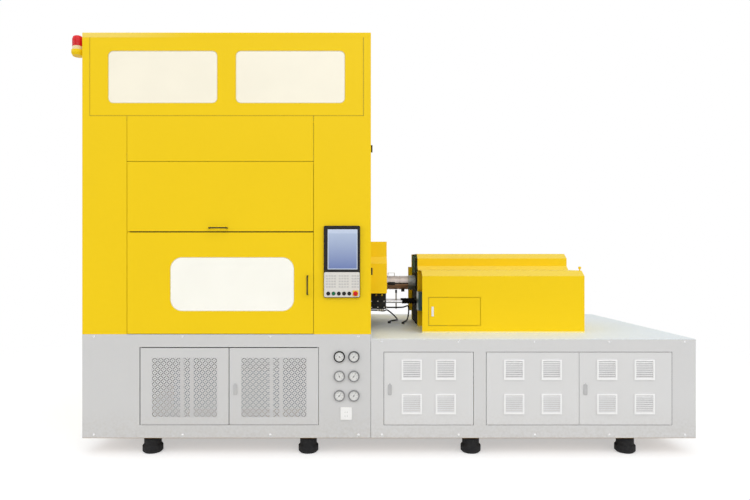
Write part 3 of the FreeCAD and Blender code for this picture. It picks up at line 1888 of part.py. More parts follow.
def injection_unit():
    """The barrel with its nozzle, and the blue housing with the drive motor, on a carriage."""
    radius, tip = S.barrel_diameter / 2, S.nozzle_diameter / 2
    neck = S.barrel_neck_diameter / 2
    length = UNIT_START - NOZZLE_TIP
    collar = S.collar_diameter / 2
    shoulder = BARREL_FRONT - NOZZLE_TIP
    profile = [
        (0, 0),
        (tip * 0.5, 0),
        (tip, tip),
        (tip, shoulder - neck),
        (neck, shoulder),
    ]
    band_end = COLLAR_START - NOZZLE_TIP
    pitch = S.heater_band_width + S.heater_band_gap
    for i in reversed(range(4)):
        start = band_end - pitch * (i + 1) + S.heater_band_gap / 2
        end = start + S.heater_band_width
        profile += [(neck, start), (radius, start), (radius, end), (neck, end)]
    profile += [(neck, band_end), (collar, band_end), (collar, length), (0, length)]
    barrel = turned(NOZZLE_TIP, S.barrel_y, S.barrel_z, profile, axis="x")
    sub_part("barrel", barrel)

    start = UNIT_START
    bed_top = S.right_base_top + S.bed_height
    half = S.unit_width / 2
    inset = S.plate_gap + S.cover_skin
    front, back = S.cover_middle + inset, S.cover_back - inset
    low, top = S.right_base_top + S.plate_gap, S.tall_cover_top - inset
    plate = side_profile(
        start,
        S.unit_plate,
        [
            (front, low),
            (front, S.tall_cover_shoulder - inset / 2),
            (front + S.tall_cover_fold, top),
            (back, top),
            (back, low),
        ],
    )
    ribs = SIZES["bellows_ribs"]
    inner = S.rod_diameter / 2 + S.running_clearance
    crest, valley = S.bellows_diameter / 2, S.bellows_neck_diameter / 2
    step = S.bellows_length / (2 * ribs)
    outside = []
    for i in range(2 * ribs + 1):
        outside.append((crest if i % 2 else valley, step * i))
    bellows = [
        turned(
            start - S.bellows_length,
            y,
            S.rod_z,
            [(inner, 0), *outside, (inner, S.bellows_length)],
            axis="x",
        )
        for y in (ROD_FRONT, ROD_BACK)
    ]
    housing = box(
        start + S.unit_plate,
        S.barrel_y - half,
        bed_top,
        start + S.unit_length,
        S.barrel_y + half,
        S.unit_top - S.carriage_height,
    )
    motor = cylinder(
        start + S.unit_length,
        S.barrel_y,
        S.barrel_z,
        S.motor_diameter,
        S.motor_length - S.unit_stroke,
        axis="x",
    )
    bores = [
        cylinder(
            start - S.unit_plate,
            y,
            S.rod_z,
            S.rod_diameter + 2 * S.running_clearance,
            S.unit_length + 2 * S.unit_plate,
            axis="x",
        )
        for y in (ROD_FRONT, ROD_BACK)
    ]
    unit = cut(fuse(plate, housing, motor), *bores)
    sub_part("injection_unit", fuse(unit, *bellows))


# The hoses' routes as points: x from the tower's right wall, y and z of the machine. The
# fittings give the two ends.
HOSE_1_ROUTE = [
    (246, 1075, 1208),
    (300, 1115, 1207),
    (344, 1200, 1204),
    (382, 1300, 1206),
    (417, 1395, 1222),
    (447, 1491, 1221),
    (457, 1540, 1175),
    (457, 1553, 1115),
    (447, 1530, 1059),
    (430, 1479, 1028),
    (410, 1400, 1028),
    (385, 1318, 1028),
    (365, 1258, 1028),
]
HOSE_2_ROUTE = [
    (72, 1200, 1168),
    (118, 1234, 1166),
    (140, 1306, 1166),
    (158, 1392, 1166),
    (172, 1482, 1166),
    (186, 1567, 1164),
    (205, 1643, 1160),
    (250, 1686, 1120),
    (301, 1677, 1066),
    (331, 1620, 1028),
    (325, 1528, 1028),
    (255, 1448, 1028),
    (231, 1388, 1028),
    (219, 1337, 1028),
]


def hose_ends():
    """The points where each hose leaves its first fitting and enters its deck elbow."""
    wall = S.left_length
    deck_level = S.right_base_top + S.hose_diameter / 2 + 1
    first = [
        (wall + S.block_reach + S.fitting_length, S.block_front + S.block_width / 2, 1208),
        (wall + S.fitting_length, 1200, 1168),
    ]
    last = [(wall + 365, 1208, deck_level), (wall + 219, 1280, deck_level)]
    return list(zip(first, last))


def valve_block_and_hoses():
    """The valve block on the tower's right wall, its fittings, and two hoses to the deck."""
    wall = S.left_length
    block_end = wall + S.block_reach
    block_back = S.block_front + S.block_width
    block = box(
        wall, S.block_front, S.block_bottom, block_end, block_back, S.block_bottom + S.block_height
    )
    pieces = [block]
    diameter = S.hose_diameter
    for start, end in hose_ends():
        face = as_size(start[0]) - S.fitting_length
        pieces.append(
            cylinder(face, start[1], start[2], S.fitting_diameter, S.fitting_length, axis="x")
        )
        elbow_y = end[1] - S.elbow_diameter / 2
        elbow = box(
            end[0] - S.elbow_diameter / 2,
            elbow_y - S.elbow_diameter / 2,
            S.right_base_top,
            end[0] + S.elbow_diameter / 2,
            end[1],
            S.right_base_top + S.elbow_height,
        )
        pieces.append(elbow)
    sub_part("valve_block", group(*pieces))
    routes = (HOSE_1_ROUTE, HOSE_2_ROUTE)
    for number, (route, (start, end)) in enumerate(zip(routes, hose_ends()), start=1):
        between = [(wall + x, y, z) for x, y, z in route]
        tube, length, radii = tube_along([start, *between, end], diameter)
        section = math.pi * (diameter.number / 2) ** 2
        print(f"hose {number}: length {length:.0f} mm, least radius {min(radii):.0f} mm,")
        print(f"  volume over section times length {tube.Volume / (section * length):.4f}")
        sub_part(f"hose_{number}", plain_shape(tube))


# ---------------------------------------------------------------------------
# Rotary table and clamp
# ---------------------------------------------------------------------------


def tie_places():
    """The centres of the four tie bars."""
    x, y = S.tie_spacing_x / 2, S.tie_spacing_y / 2
    return [
        (STATION_X + x * across, STATION_Y + y * along)
        for across in (-1, 1)
        for along in (-1, 1)
    ]


def clamp():
    """The rotary table, tie bars, moving platen with its rod, and the fixed head above."""
    x, y = STATION_X, STATION_Y
    table = cylinder(x, y, S.table_height, S.table_diameter, S.table_thickness)
    shaft_low = FLOOR - S.table_bore_depth
    shaft = cylinder(x, y, shaft_low, S.table_shaft_diameter, S.table_height - shaft_low)
    around = S.table_hole_circle / 2
    holes = [
        cylinder(x + around * dx, y + around * dy, S.table_height, S.table_hole_diameter, S.table_thickness)
        for dx, dy in ((1, 0), (0, 1), (-1, 0), (0, -1))
    ]
    sub_part("rotary_table", fuse(cut(table, *holes), shaft))

    bars = [
        cylinder(bar_x, bar_y, FLOOR, S.tie_diameter, S.head_bottom - FLOOR)
        for bar_x, bar_y in tie_places()
    ]
    sub_part("tie_bars", group(*bars))

    half_x, half_y = S.platen_length / 2, S.platen_width / 2
    top = S.platen_bottom + S.platen_thickness
    platen = box(x - half_x, y - half_y, S.platen_bottom, x + half_x, y + half_y, top)
    bores = [
        cylinder(
            bar_x,
            bar_y,
            S.platen_bottom,
            S.tie_diameter + 2 * S.running_clearance,
            S.platen_thickness,
        )
        for bar_x, bar_y in tie_places()
    ]
    head_top = S.head_bottom + S.head_thickness
    rod_top = head_top + S.piston_rod_reach
    rod = cylinder(x, y, top, S.piston_rod_diameter, rod_top - top)
    sub_part("clamp_platen", fuse(cut(platen, *bores), rod))

    head = box(x - half_x, y - half_y, S.head_bottom, x + half_x, y + half_y, head_top)
    rod_bore = cylinder(
        x, y, S.head_bottom, S.piston_rod_diameter + 2 * S.running_clearance, S.head_thickness
    )
    cylinder_top = head_top + S.cylinder_height
    outer = cylinder(x, y, head_top, S.cylinder_diameter, S.cylinder_height)
    inner = cylinder(x, y, head_top, S.cylinder_bore, S.cylinder_height - S.cylinder_cap)
    cap = cylinder(
        x, y, cylinder_top - S.cylinder_cap, S.cylinder_diameter * 1.15, S.cylinder_cap
    )
    barrel = fuse(cut(outer, inner), cap)
    sub_part("clamp_head", group(cut(head, rod_bore), barrel))


def check_and_export():
    """Stops if anything failed to build, and otherwise writes each sub-part to its file."""
    doc.recompute()
    for item in doc.Objects:
        if "Invalid" in item.State or "Error" in item.State:
            raise RuntimeError(f"{item.Label} did not build: {item.State}")
    os.makedirs("parts", exist_ok=True)
    for name, item in sub_parts.items():
        if item.Shape.isNull() or not item.Shape.isValid() or not item.Shape.Solids:
            raise RuntimeError(f"{name} has no valid solid")
        item.Shape.exportStep(f"parts/{name}.step")
    print(f"{len(sub_parts)} sub-parts written")


base_frame()
machine_bed()
deck_plate()
base_panels()
levelling_mounts()
pressure_gauges()
socket_outlet()
hydraulic_unit()
base_doors()
perforated_doors()
latches()
tower_frame()
tower_walls()
tower_right_wall()
side_door()
tower_front()
tower_doors()
operator_panel()
beacon()
nozzle_guard()
covers()
injection_bed()
injection_unit()
valve_block_and_hoses()
clamp()
check_and_export()
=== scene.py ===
"""Looks of a one-step injection stretch blow moulding machine, built round its CAD frame."""

import json
import math
from functools import cache

import bmesh
import bpy
from bpy.props import FloatProperty, FloatVectorProperty, IntProperty, PointerProperty
from bpy.types import NodeSocket, Operator, Panel, PropertyGroup
from mathutils import Matrix, Vector

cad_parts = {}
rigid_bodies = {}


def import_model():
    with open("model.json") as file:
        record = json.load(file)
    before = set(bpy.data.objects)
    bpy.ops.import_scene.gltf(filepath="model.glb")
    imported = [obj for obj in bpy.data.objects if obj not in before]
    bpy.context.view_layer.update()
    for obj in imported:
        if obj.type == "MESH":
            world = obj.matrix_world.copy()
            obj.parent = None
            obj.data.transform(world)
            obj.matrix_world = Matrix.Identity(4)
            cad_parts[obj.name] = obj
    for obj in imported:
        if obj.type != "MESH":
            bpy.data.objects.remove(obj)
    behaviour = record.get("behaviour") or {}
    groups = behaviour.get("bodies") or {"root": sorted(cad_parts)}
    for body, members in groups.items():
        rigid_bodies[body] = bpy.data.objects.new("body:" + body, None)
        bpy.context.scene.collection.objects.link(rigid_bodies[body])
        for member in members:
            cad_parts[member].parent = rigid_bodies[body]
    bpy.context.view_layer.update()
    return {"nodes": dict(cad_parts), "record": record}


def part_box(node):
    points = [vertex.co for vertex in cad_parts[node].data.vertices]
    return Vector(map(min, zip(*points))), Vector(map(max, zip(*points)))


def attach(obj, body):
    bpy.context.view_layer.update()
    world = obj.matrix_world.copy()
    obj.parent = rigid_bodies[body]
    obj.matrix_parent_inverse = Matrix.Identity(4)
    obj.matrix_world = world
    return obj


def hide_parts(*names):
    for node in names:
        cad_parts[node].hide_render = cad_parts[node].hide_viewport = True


bl_info = {
    "name": "Blow Moulding Machine Looks",
    "version": (1, 0, 0),
    "blender": (4, 5, 0),
    "location": "View3D > Sidebar > Blow Moulder",
    "description": "Dresses the CAD frame of a one-step blow moulding machine",
    "category": "Object",
}

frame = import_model()
BODY_OF = {
    node: body
    for body, nodes in frame["record"]["behaviour"]["bodies"].items()
    for node in nodes
}
SLOT_OF = {part["node"]: part["material_slot"] for part in frame["record"]["subparts"]}

# The machine is measured in millimetres from the left end and the front face of its base.
LEFT_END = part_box("base_end_panels")[0][0]
FRONT_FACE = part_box("deck_plate")[0][1]
WALL = 2541  # the outer face of the tower's right wall
X, Y, Z = 0, 1, 2


def at(x, y, z):
    """A point of the machine, in millimetres from the base's left front corner and the floor."""
    return Vector((LEFT_END + x / 1000, FRONT_FACE + y / 1000, z / 1000))


# ---------------------------------------------------------------------------
# Sizes and colours that a user would change


def length(name, description, default):
    return FloatProperty(name=name, description=description, default=default, unit="LENGTH", min=0)


def tint(name, description, default):
    return FloatVectorProperty(
        name=name, description=description, default=default, subtype="COLOR", min=0, max=1
    )


class MachineColours(PropertyGroup):
    yellow: tint("Tower yellow", "Powder coat of the tower and covers", (0.95, 0.655, 0.003))
    left_grey: tint("Left base grey", "Paint of the base under the tower", (0.665, 0.665, 0.662))
    right_grey: tint("Right base grey", "Paint of the injection end", (0.7, 0.7, 0.697))
    deck: tint("Deck", "Paint of the deck plate", (0.83, 0.9, 0.95))
    louvre: tint("Louvres", "White frames of the louvres", (0.96, 0.96, 0.955))
    pane: tint("Panes", "Frosted window panes", (0.955, 0.905, 0.745))
    black: tint("Black plastic", "Handles, bezels and buttons", (0.018, 0.018, 0.02))
    lens: tint("Beacon lens", "Red lens of the beacon", (0.72, 0.008, 0.014))
    screen_low: tint("Screen, lower part", "Blue of the lit screen", (0.12, 0.17, 0.37))
    screen_high: tint("Screen, upper part", "Paler blue of the lit screen", (0.4, 0.475, 0.61))
    casting: tint("Castings", "Blue-green enamel of the unit", (0.035, 0.102, 0.145))


class MachineSizes(PropertyGroup):
    sheet_edge: length("Sheet edge", "Rounding of folded sheet metal", 0.0009)
    casting_edge: length("Casting edge", "Rounding of blocks and castings", 0.003)
    screw_head: length("Screw head", "Diameter of the panel screws", 0.02)
    perforation_pitch: length("Perforation pitch", "Step of the doors' pattern", 0.0523)
    slot_length: length("Slot length", "Length of a slanted slot", 0.031)
    slot_width: length("Slot width", "Width of a slanted slot", 0.0052)
    dot: length("Dot", "Diameter of the round holes", 0.0075)
    bead: length("Pane bead", "Thickness of the bead round each pane", 0.0045)
    tick_count: IntProperty(
        name="Dial ticks", description="Ticks round each dial", default=41, min=5, max=101
    )
    lens_ribs: IntProperty(
        name="Lens ribs", description="Upright ribs of the beacon lens", default=36, min=8, max=90
    )


def colours():
    return bpy.context.scene.blow_moulder_colours


def sizes():
    return bpy.context.scene.blow_moulder_sizes


# ---------------------------------------------------------------------------
# Node trees

FLOAT, COLOUR, VECTOR = "NodeSocketFloat", "NodeSocketColor", "NodeSocketVector"
GEOMETRY, FINISH = "NodeSocketGeometry", "NodeSocketMaterial"


def set_inputs(tree, node, inputs):
    """Sets a node's inputs. Each is a socket to link from, or a plain value."""
    for key, value in inputs.items():
        if isinstance(value, NodeSocket):
            tree.links.new(value, node.inputs[key])
        else:
            node.inputs[key].default_value = value


def add_node(tree, kind, inputs=None, **settings):
    node = tree.nodes.new(kind)
    for name, value in settings.items():
        setattr(node, name, value)
    set_inputs(tree, node, inputs or {})
    return node


def math_node(tree, operation, first, second=0.0, clamp=False):
    inputs = {0: first, 1: second}
    return add_node(
        tree, "ShaderNodeMath", inputs, operation=operation, use_clamp=clamp
    ).outputs[0]


def plus(tree, first, second):
    return math_node(tree, "ADD", first, second)


def times(tree, first, second):
    return math_node(tree, "MULTIPLY", first, second)


def rgba(colour):
    return (colour[0], colour[1], colour[2], 1)


def mix_colour(tree, factor, first, second):
    """The first colour where the factor is 0, and the second where it is 1."""
    first, second = (
        colour if isinstance(colour, NodeSocket) else rgba(colour) for colour in (first, second)
    )
    inputs = {0: factor, 6: first, 7: second}
    return add_node(tree, "ShaderNodeMix", inputs, data_type="RGBA").outputs[2]


def map_range(tree, value, low, high, to_low=0.0, to_high=1.0, smooth=False):
    inputs = {"Value": value, 1: low, 2: high, 3: to_low, 4: to_high}
    kind = "SMOOTHSTEP" if smooth else "LINEAR"
    return add_node(tree, "ShaderNodeMapRange", inputs, interpolation_type=kind).outputs[0]


def noise(tree, vector, scale, detail):
    inputs = {"Vector": vector, "Scale": scale, "Detail": detail}
    return add_node(tree, "ShaderNodeTexNoise", inputs).outputs["Fac"]


def axis_of(tree, vector, axis):
    return add_node(tree, "ShaderNodeSeparateXYZ", {0: vector}).outputs[axis]


def past(tree, vector, axis, limit):
    """1 where the vector's part along an axis is past the limit, and 0 elsewhere."""
    return math_node(tree, "GREATER_THAN", axis_of(tree, vector, axis), limit)


def short_of(tree, vector, axis, limit):
    """1 where the vector's part along an axis is short of the limit, and 0 elsewhere."""
    return math_node(tree, "LESS_THAN", axis_of(tree, vector, axis), limit)


def by_height(tree, where, low_z, high_z):
    """0 below low_z and 1 above high_z, in metres."""
    return map_range(tree, axis_of(tree, where, Z), low_z, high_z, smooth=True)


def facing_of(tree):
    """The direction that the surface faces, in the piece's own axes."""
    return tree.nodes.new("ShaderNodeTexCoord").outputs["Normal"]


def brightened(tree, colour, value):
    inputs = {"Color": colour, "Value": value}
    return add_node(tree, "ShaderNodeHueSaturation", inputs).outputs[0]


def relief(tree, height, strength, distance):
    inputs = {"Height": height, "Strength": strength, "Distance": distance}
    return add_node(tree, "ShaderNodeBump", inputs).outputs[0]


def new_group(name, kind, inputs, outputs):
    """A node group with named sockets: the group, its inputs' sockets and its output node."""
    group = bpy.data.node_groups.new(name, kind)
    for way, sockets in (("INPUT", inputs), ("OUTPUT", outputs)):
        for socket_name, socket_type in sockets.items():
            group.interface.new_socket(socket_name, in_out=way, socket_type=socket_type)
    return group, group.nodes.new("NodeGroupInput").outputs, group.nodes.new("NodeGroupOutput")


def surface_group(name, **inputs):
    """A group that makes colour, roughness and height from a place and a plain colour."""
    inputs = {"Vector": VECTOR, "Colour": COLOUR, **inputs}
    outputs = {"Colour": COLOUR, "Roughness": FLOAT, "Height": FLOAT}
    return new_group(name, "ShaderNodeTree", inputs, outputs)


@cache
def powder_coat():
    """Sprayed paint: slow drifts of tone, orange peel, dust low down, and a painted highlight that
    makes upward faces paler.
    """
    group, given, out = surface_group(
        "Powder Coat", Mottle=FLOAT, Gloss=FLOAT, Dust=FLOAT, Film=FLOAT
    )
    where = given["Vector"]
    drift = noise(group, where, 1.7, 3)
    spots = noise(group, where, 46, 4)
    peel = noise(group, where, 520, 1)
    fine = times(group, plus(group, spots, -0.5), 0.35)
    tone = times(group, plus(group, plus(group, drift, -0.5), fine), given["Mottle"])
    shade = brightened(group, given["Colour"], plus(group, times(group, tone, 2), 1))
    # Painted highlight: upward faces are mixed towards pale yellow, as if lit from above.
    upward = map_range(group, axis_of(group, facing_of(group), Z), 0.25, 0.9, smooth=True)
    patchy_top_light = map_range(group, spots, 0.2, 0.8, 0.75, 1.0)
    film = times(group, times(group, upward, patchy_top_light), given["Film"])
    shade = mix_colour(group, film, shade, (0.8, 0.8, 0.35))
    low = by_height(group, where, 0.5, 0.12)
    patch = map_range(group, spots, 0.35, 0.75)
    dust = times(group, times(group, low, patch), given["Dust"])
    rough = plus(group, times(group, plus(group, spots, -0.5), 0.16), given["Gloss"])
    rough = math_node(group, "ADD", rough, times(group, dust, 0.4), clamp=True)
    colour = mix_colour(group, dust, shade, (0.42, 0.36, 0.28))
    set_inputs(group, out, {"Colour": colour, "Roughness": rough, "Height": peel})
    return group


@cache
def brushed_metal():
    """Metal with fine streaks along one axis and a slow change of tone."""
    group, given, out = surface_group(
        "Brushed Metal", Streaks=VECTOR, Contrast=FLOAT, Gloss=FLOAT
    )
    where = given["Vector"]
    inputs = {0: where, 1: given["Streaks"]}
    stretched = add_node(group, "ShaderNodeVectorMath", inputs, operation="MULTIPLY").outputs[0]
    streaks = noise(group, stretched, 9, 5)
    stain = noise(group, where, 11, 3)
    mark = times(group, plus(group, plus(group, streaks, stain), -1), given["Contrast"])
    colour = brightened(group, given["Colour"], plus(group, mark, 1))
    rough = plus(group, times(group, mark, -0.6), given["Gloss"])
    rough = math_node(group, "MAXIMUM", rough, 0.08)
    set_inputs(group, out, {"Colour": colour, "Roughness": rough, "Height": streaks})
    return group


@cache
def moulded_plastic():
    """Plastic or rubber with a fine moulded grain and handling marks."""
    group, given, out = surface_group("Moulded Plastic", Grain=FLOAT, Wear=FLOAT, Gloss=FLOAT)
    grain = noise(group, given["Vector"], given["Grain"], 2)
    marks = noise(group, given["Vector"], 38, 5)
    worn = times(group, map_range(group, marks, 0.45, 0.8), given["Wear"])
    colour = mix_colour(group, worn, given["Colour"], (0.5, 0.48, 0.45))
    rough = plus(group, given["Gloss"], times(group, marks, 0.15))
    set_inputs(group, out, {"Colour": colour, "Roughness": rough, "Height": grain})
    return group


# ---------------------------------------------------------------------------
# Materials


def start_material(title):
    """An empty material with its shader, and the Object coordinates."""
    material = bpy.data.materials.new(title)
    material.use_nodes = True
    tree = material.node_tree
    tree.nodes.clear()
    shader = tree.nodes.new("ShaderNodeBsdfPrincipled")
    add_node(tree, "ShaderNodeOutputMaterial", {"Surface": shader.outputs[0]})
    return material, tree, shader, tree.nodes.new("ShaderNodeTexCoord").outputs["Object"]


def surface(tree, group, where, tone, values, bump):
    """The shader inputs that a surface group feeds. bump is its strength and its depth."""
    inputs = {"Vector": where, "Colour": tone, **values}
    made = add_node(tree, "ShaderNodeGroup", inputs, node_tree=group).outputs
    return {
        "Base Color": made["Colour"],
        "Roughness": made["Roughness"],
        "Normal": relief(tree, made["Height"], *bump),
    }


def coated(title, colour, shade, group, values, bump, shader_inputs):
    """A material from a surface group. shade may change the colour from place to place."""
    material, tree, shader, where = start_material(title)
    tone = shade(tree, where, colour) if shade else rgba(colour)
    set_inputs(tree, shader, surface(tree, group, where, tone, values, bump))
    set_inputs(tree, shader, shader_inputs)
    return material


def paint(title, colour, mottle=0.03, gloss=0.4, dust=0.15, coat=0.05, film=0.0, shade=None):
    """A powder-coated finish."""
    values = {"Mottle": mottle, "Gloss": gloss, "Dust": dust, "Film": film}
    inputs = {"Specular IOR Level": 0.2, "Coat Weight": coat, "Coat Roughness": 0.25}
    return coated(title, colour, shade, powder_coat(), values, (0.12, 0.0004), inputs)


def yellow_paint(title, colour, **settings):
    """The tower's paint, which is more even than the greys."""
    return paint(title, colour, mottle=0.02, coat=0.04, **settings)


def louvred_paint(title, colour, lift):
    """The base doors' paint, a little paler than the sheets round them."""
    return paint(title, [part * lift for part in colour], dust=0.25, shade=louvre_white_and_slat_shade)


def metal(title, colour, streaks, contrast=0.25, gloss=0.35, metallic=1.0, shade=None):
    """A brushed, ground or cast metal."""
    values = {"Streaks": streaks, "Contrast": contrast, "Gloss": gloss}
    inputs = {"Metallic": metallic}
    return coated(title, colour, shade, brushed_metal(), values, (0.08, 0.0003), inputs)


def plastic(title, colour, grain=700, wear=0.06, gloss=0.4, bump=0.15, shine=0.5, shade=None):
    """A moulded plastic or a rubber."""
    values = {"Grain": grain, "Wear": wear, "Gloss": gloss}
    inputs = {"Specular IOR Level": shine}
    return coated(title, colour, shade, moulded_plastic(), values, (bump, 0.0003), inputs)


def proud_of(node, depth, other):
    """A shade for what stands in front of a node's sheet: the rest keeps its colour."""

    def shade(tree, where, colour):
        mask = short_of(tree, where, Y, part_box(node)[0][Y] + depth)
        return mix_colour(tree, mask, colour, other)

    return shade


def louvre_white_and_slat_shade(tree, where, colour):
    """White louvre frames and slat edges; the slats' faces that slope away from them get painted
    shade in grey.
    """
    proud = short_of(tree, where, Y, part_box("base_door_1")[0][Y] + 0.0085)
    # Painted shade: faces that do not face the front are made grey.
    slope = past(tree, facing_of(tree), Y, -0.9)
    tone = mix_colour(tree, slope, colours().louvre, (0.84, 0.84, 0.84))
    return mix_colour(tree, proud, colour, tone)


def painted_lip_highlight(tree, where, colour):
    """A painted highlight: the roof's lip is paler towards the left."""
    ends = at(1100, 0, 0).x, at(100, 0, 0).x
    fade = map_range(tree, axis_of(tree, where, X), *ends, 0.0, 0.3, True)
    return mix_colour(tree, fade, colour, (0.98, 0.9, 0.45))


def black_knuckles(tree, where, colour):
    """Hinge knuckles stand off the tower's right wall and are black."""
    mask = past(tree, where, X, at(WALL + 2.2, 0, 0).x)
    return mix_colour(tree, mask, colour, colours().black)


def painted_inside_shade(node, axis):
    """Painted shade: sheets are nearly black on their inner side, as the inside of the base is in
    shade; the pan that closes the base is tan.
    """
    skin = 0.0008
    pan_top = 0.15

    def shade(tree, where, colour):
        low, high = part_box(node)
        mask = short_of(tree, where, axis, high[axis] - skin)
        if axis == X:
            mask = times(tree, mask, past(tree, where, axis, low[axis] + skin))
        # Painted shade: the inner side of the sheet is made nearly black.
        tone = mix_colour(tree, mask, colour, (0.045, 0.045, 0.047))
        above = by_height(tree, where, pan_top + 0.0001, pan_top + 0.0002)
        return mix_colour(tree, above, (0.4, 0.235, 0.1), tone)

    return shade


def zinc_union(tree, where, colour):
    """The union on the valve block's right face is zinc, not black."""
    out = past(tree, where, X, at(WALL + 174.5, 0, 0).x)
    mask = times(tree, out, past(tree, where, Z, 1.19))
    return mix_colour(tree, mask, colour, (0.55, 0.54, 0.5))


def painted_rim_shadow(tree, where, colour):
    """Painted shadow: the bracket's top edge is dark, where the collar shades it."""
    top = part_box("beacon_base")[1][Z]
    mask = by_height(tree, where, top - 0.0085, top - 0.0075)
    return mix_colour(tree, mask, colour, (0.1, 0.1, 0.04))


def cover_seal(tree, where, colour):
    """A pale rubber seal runs along the covers' lower edge."""
    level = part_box("front_cover")[0][Z] + 0.013
    mask = by_height(tree, where, level - 0.0005, level)
    return mix_colour(tree, mask, (0.92, 0.82, 0.4), colour)


def plate_and_casting(tree, where, colour):
    """The carriage plate is black below and blue-green enamel above."""
    return mix_colour(tree, by_height(tree, where, 1.56, 1.575), colour, colours().casting)


def barrel_lower_shade(tree, where, colour):
    """Bright bands above, a dark line, and painted shade below the barrel's middle that makes the
    lower half brown.
    """
    # Painted shade: the lower half of the barrel is darker and brown.
    tone = mix_colour(tree, by_height(tree, where, 1.452, 1.464), (0.46, 0.27, 0.17), colour)
    inputs = {0: by_height(tree, where, 1.44, 1.476), 1: 0.5, 2: 0.28}
    line = add_node(tree, "ShaderNodeMath", inputs, operation="COMPARE").outputs[0]
    tone = mix_colour(tree, line, tone, (0.05, 0.04, 0.035))
    collar = past(tree, where, X, at(WALL + 423, 0, 0).x)
    return mix_colour(tree, collar, tone, (0.3, 0.31, 0.3))


def mount_colours(tree, where, colour):
    """Rubber foot, painted cap and bright stud, by height."""
    tone = mix_colour(tree, by_height(tree, where, 0.07, 0.078), colour, (0.012, 0.012, 0.013))
    return mix_colour(tree, by_height(tree, where, 0.142, 0.1422), tone, (0.3, 0.3, 0.29))


def dark_lid(tree, where, colour):
    """The tank's lid and what stands on it are nearly black."""
    return mix_colour(tree, by_height(tree, where, 0.62, 0.64), colour, (0.05, 0.06, 0.07))


def bed_enamel(title, colour):
    """Enamelled bed and manifold with ground guide rods between them."""
    material, tree, shader, where = start_material(title)
    rods = times(tree, past(tree, where, Z, 1.2), past(tree, where, Y, at(0, 900, 0).y))
    tone = mix_colour(tree, rods, colour, (0.7, 0.7, 0.72))
    values = {"Streaks": (2, 60, 60), "Contrast": 0.15, "Gloss": 0.3}
    inputs = surface(tree, brushed_metal(), where, tone, values, (0.08, 0.0003))
    set_inputs(tree, shader, {**inputs, "Metallic": rods})
    return material


def frosted_pane(title, cream):
    """A frosted plastic pane with clouds of a deeper cream, and a faint painted glow of its own
    tone.
    """
    material, tree, shader, where = start_material(title)
    cloud = noise(tree, where, 2.6, 2)
    deep = [0.965 * part for part in cream]
    tone = mix_colour(tree, map_range(tree, cloud, 0.3, 0.7), deep, cream)
    inputs = {
        "Base Color": tone,
        "Roughness": map_range(tree, cloud, 0.3, 0.7, 0.3, 0.42),
        "Normal": relief(tree, noise(tree, where, 900, 1), 0.1, 0.0003),
        "Coat Weight": 0.3,
        "Coat Roughness": 0.12,
        # Painted light: the pane glows faintly though it is no lamp.
        "Emission Color": tone,
        "Emission Strength": 0.06,
    }
    set_inputs(tree, shader, inputs)
    return material


def lit_screen(title, blue):
    """A lit screen: a blue gradient, a paler bar along the top and a pale border."""
    low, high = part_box("display_screen")
    material, tree, shader, where = start_material(title)
    across = map_range(tree, axis_of(tree, where, X), low[X], high[X])
    rise = map_range(tree, axis_of(tree, where, Z), low[Z], high[Z])
    tone = mix_colour(tree, rise, blue, colours().screen_high)
    bar = math_node(tree, "GREATER_THAN", rise, 0.9)
    tone = mix_colour(tree, bar, tone, (0.45, 0.52, 0.66))
    for share, margin in ((across, 0.475), (rise, 0.48)):
        off_centre = math_node(tree, "ABSOLUTE", plus(tree, share, -0.5))
        border = math_node(tree, "GREATER_THAN", off_centre, margin)
        tone = mix_colour(tree, border, tone, (0.52, 0.58, 0.68))
    inputs = {
        "Base Color": tone,
        "Roughness": map_range(tree, noise(tree, where, 14, 4), 0.3, 0.7, 0.08, 0.22),
        "Emission Color": tone,
        "Emission Strength": 0.25,
    }
    set_inputs(tree, shader, inputs)
    return material


def clear_glass(title, colour):
    """Thin clear glass with faint smears."""
    material, tree, shader, where = start_material(title)
    inputs = {
        "Base Color": rgba(colour),
        "Roughness": map_range(tree, noise(tree, where, 60, 3), 0.3, 0.7, 0.02, 0.07),
        "Alpha": 0.12,
        "Coat Weight": 0.6,
    }
    set_inputs(tree, shader, inputs)
    return material


def lens_plastic(title, red):
    """Red lens plastic, deeper towards its foot."""
    low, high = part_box("beacon_lens")
    material, tree, shader, where = start_material(title)
    deep = [0.8 * part for part in red]
    tone = mix_colour(tree, by_height(tree, where, low[Z], high[Z]), deep, red)
    inputs = {
        "Base Color": tone,
        "Roughness": map_range(tree, noise(tree, where, 30, 2), 0.3, 0.7, 0.12, 0.25),
        "Emission Color": tone,
        "Emission Strength": 0.12,
        "Specular IOR Level": 0.3,
    }
    set_inputs(tree, shader, inputs)
    return material


NEAR_BLACK = (0.012, 0.012, 0.013)
WHITE_PULL = proud_of("cover_door", 0.006, (0.85, 0.85, 0.84))
YELLOW_STOP_RING = proud_of("key_panel", 0.0012, (0.86, 0.6, 0.02))
REAR, ENDS = painted_inside_shade("base_rear_panels", Y), painted_inside_shade("base_end_panels", X)

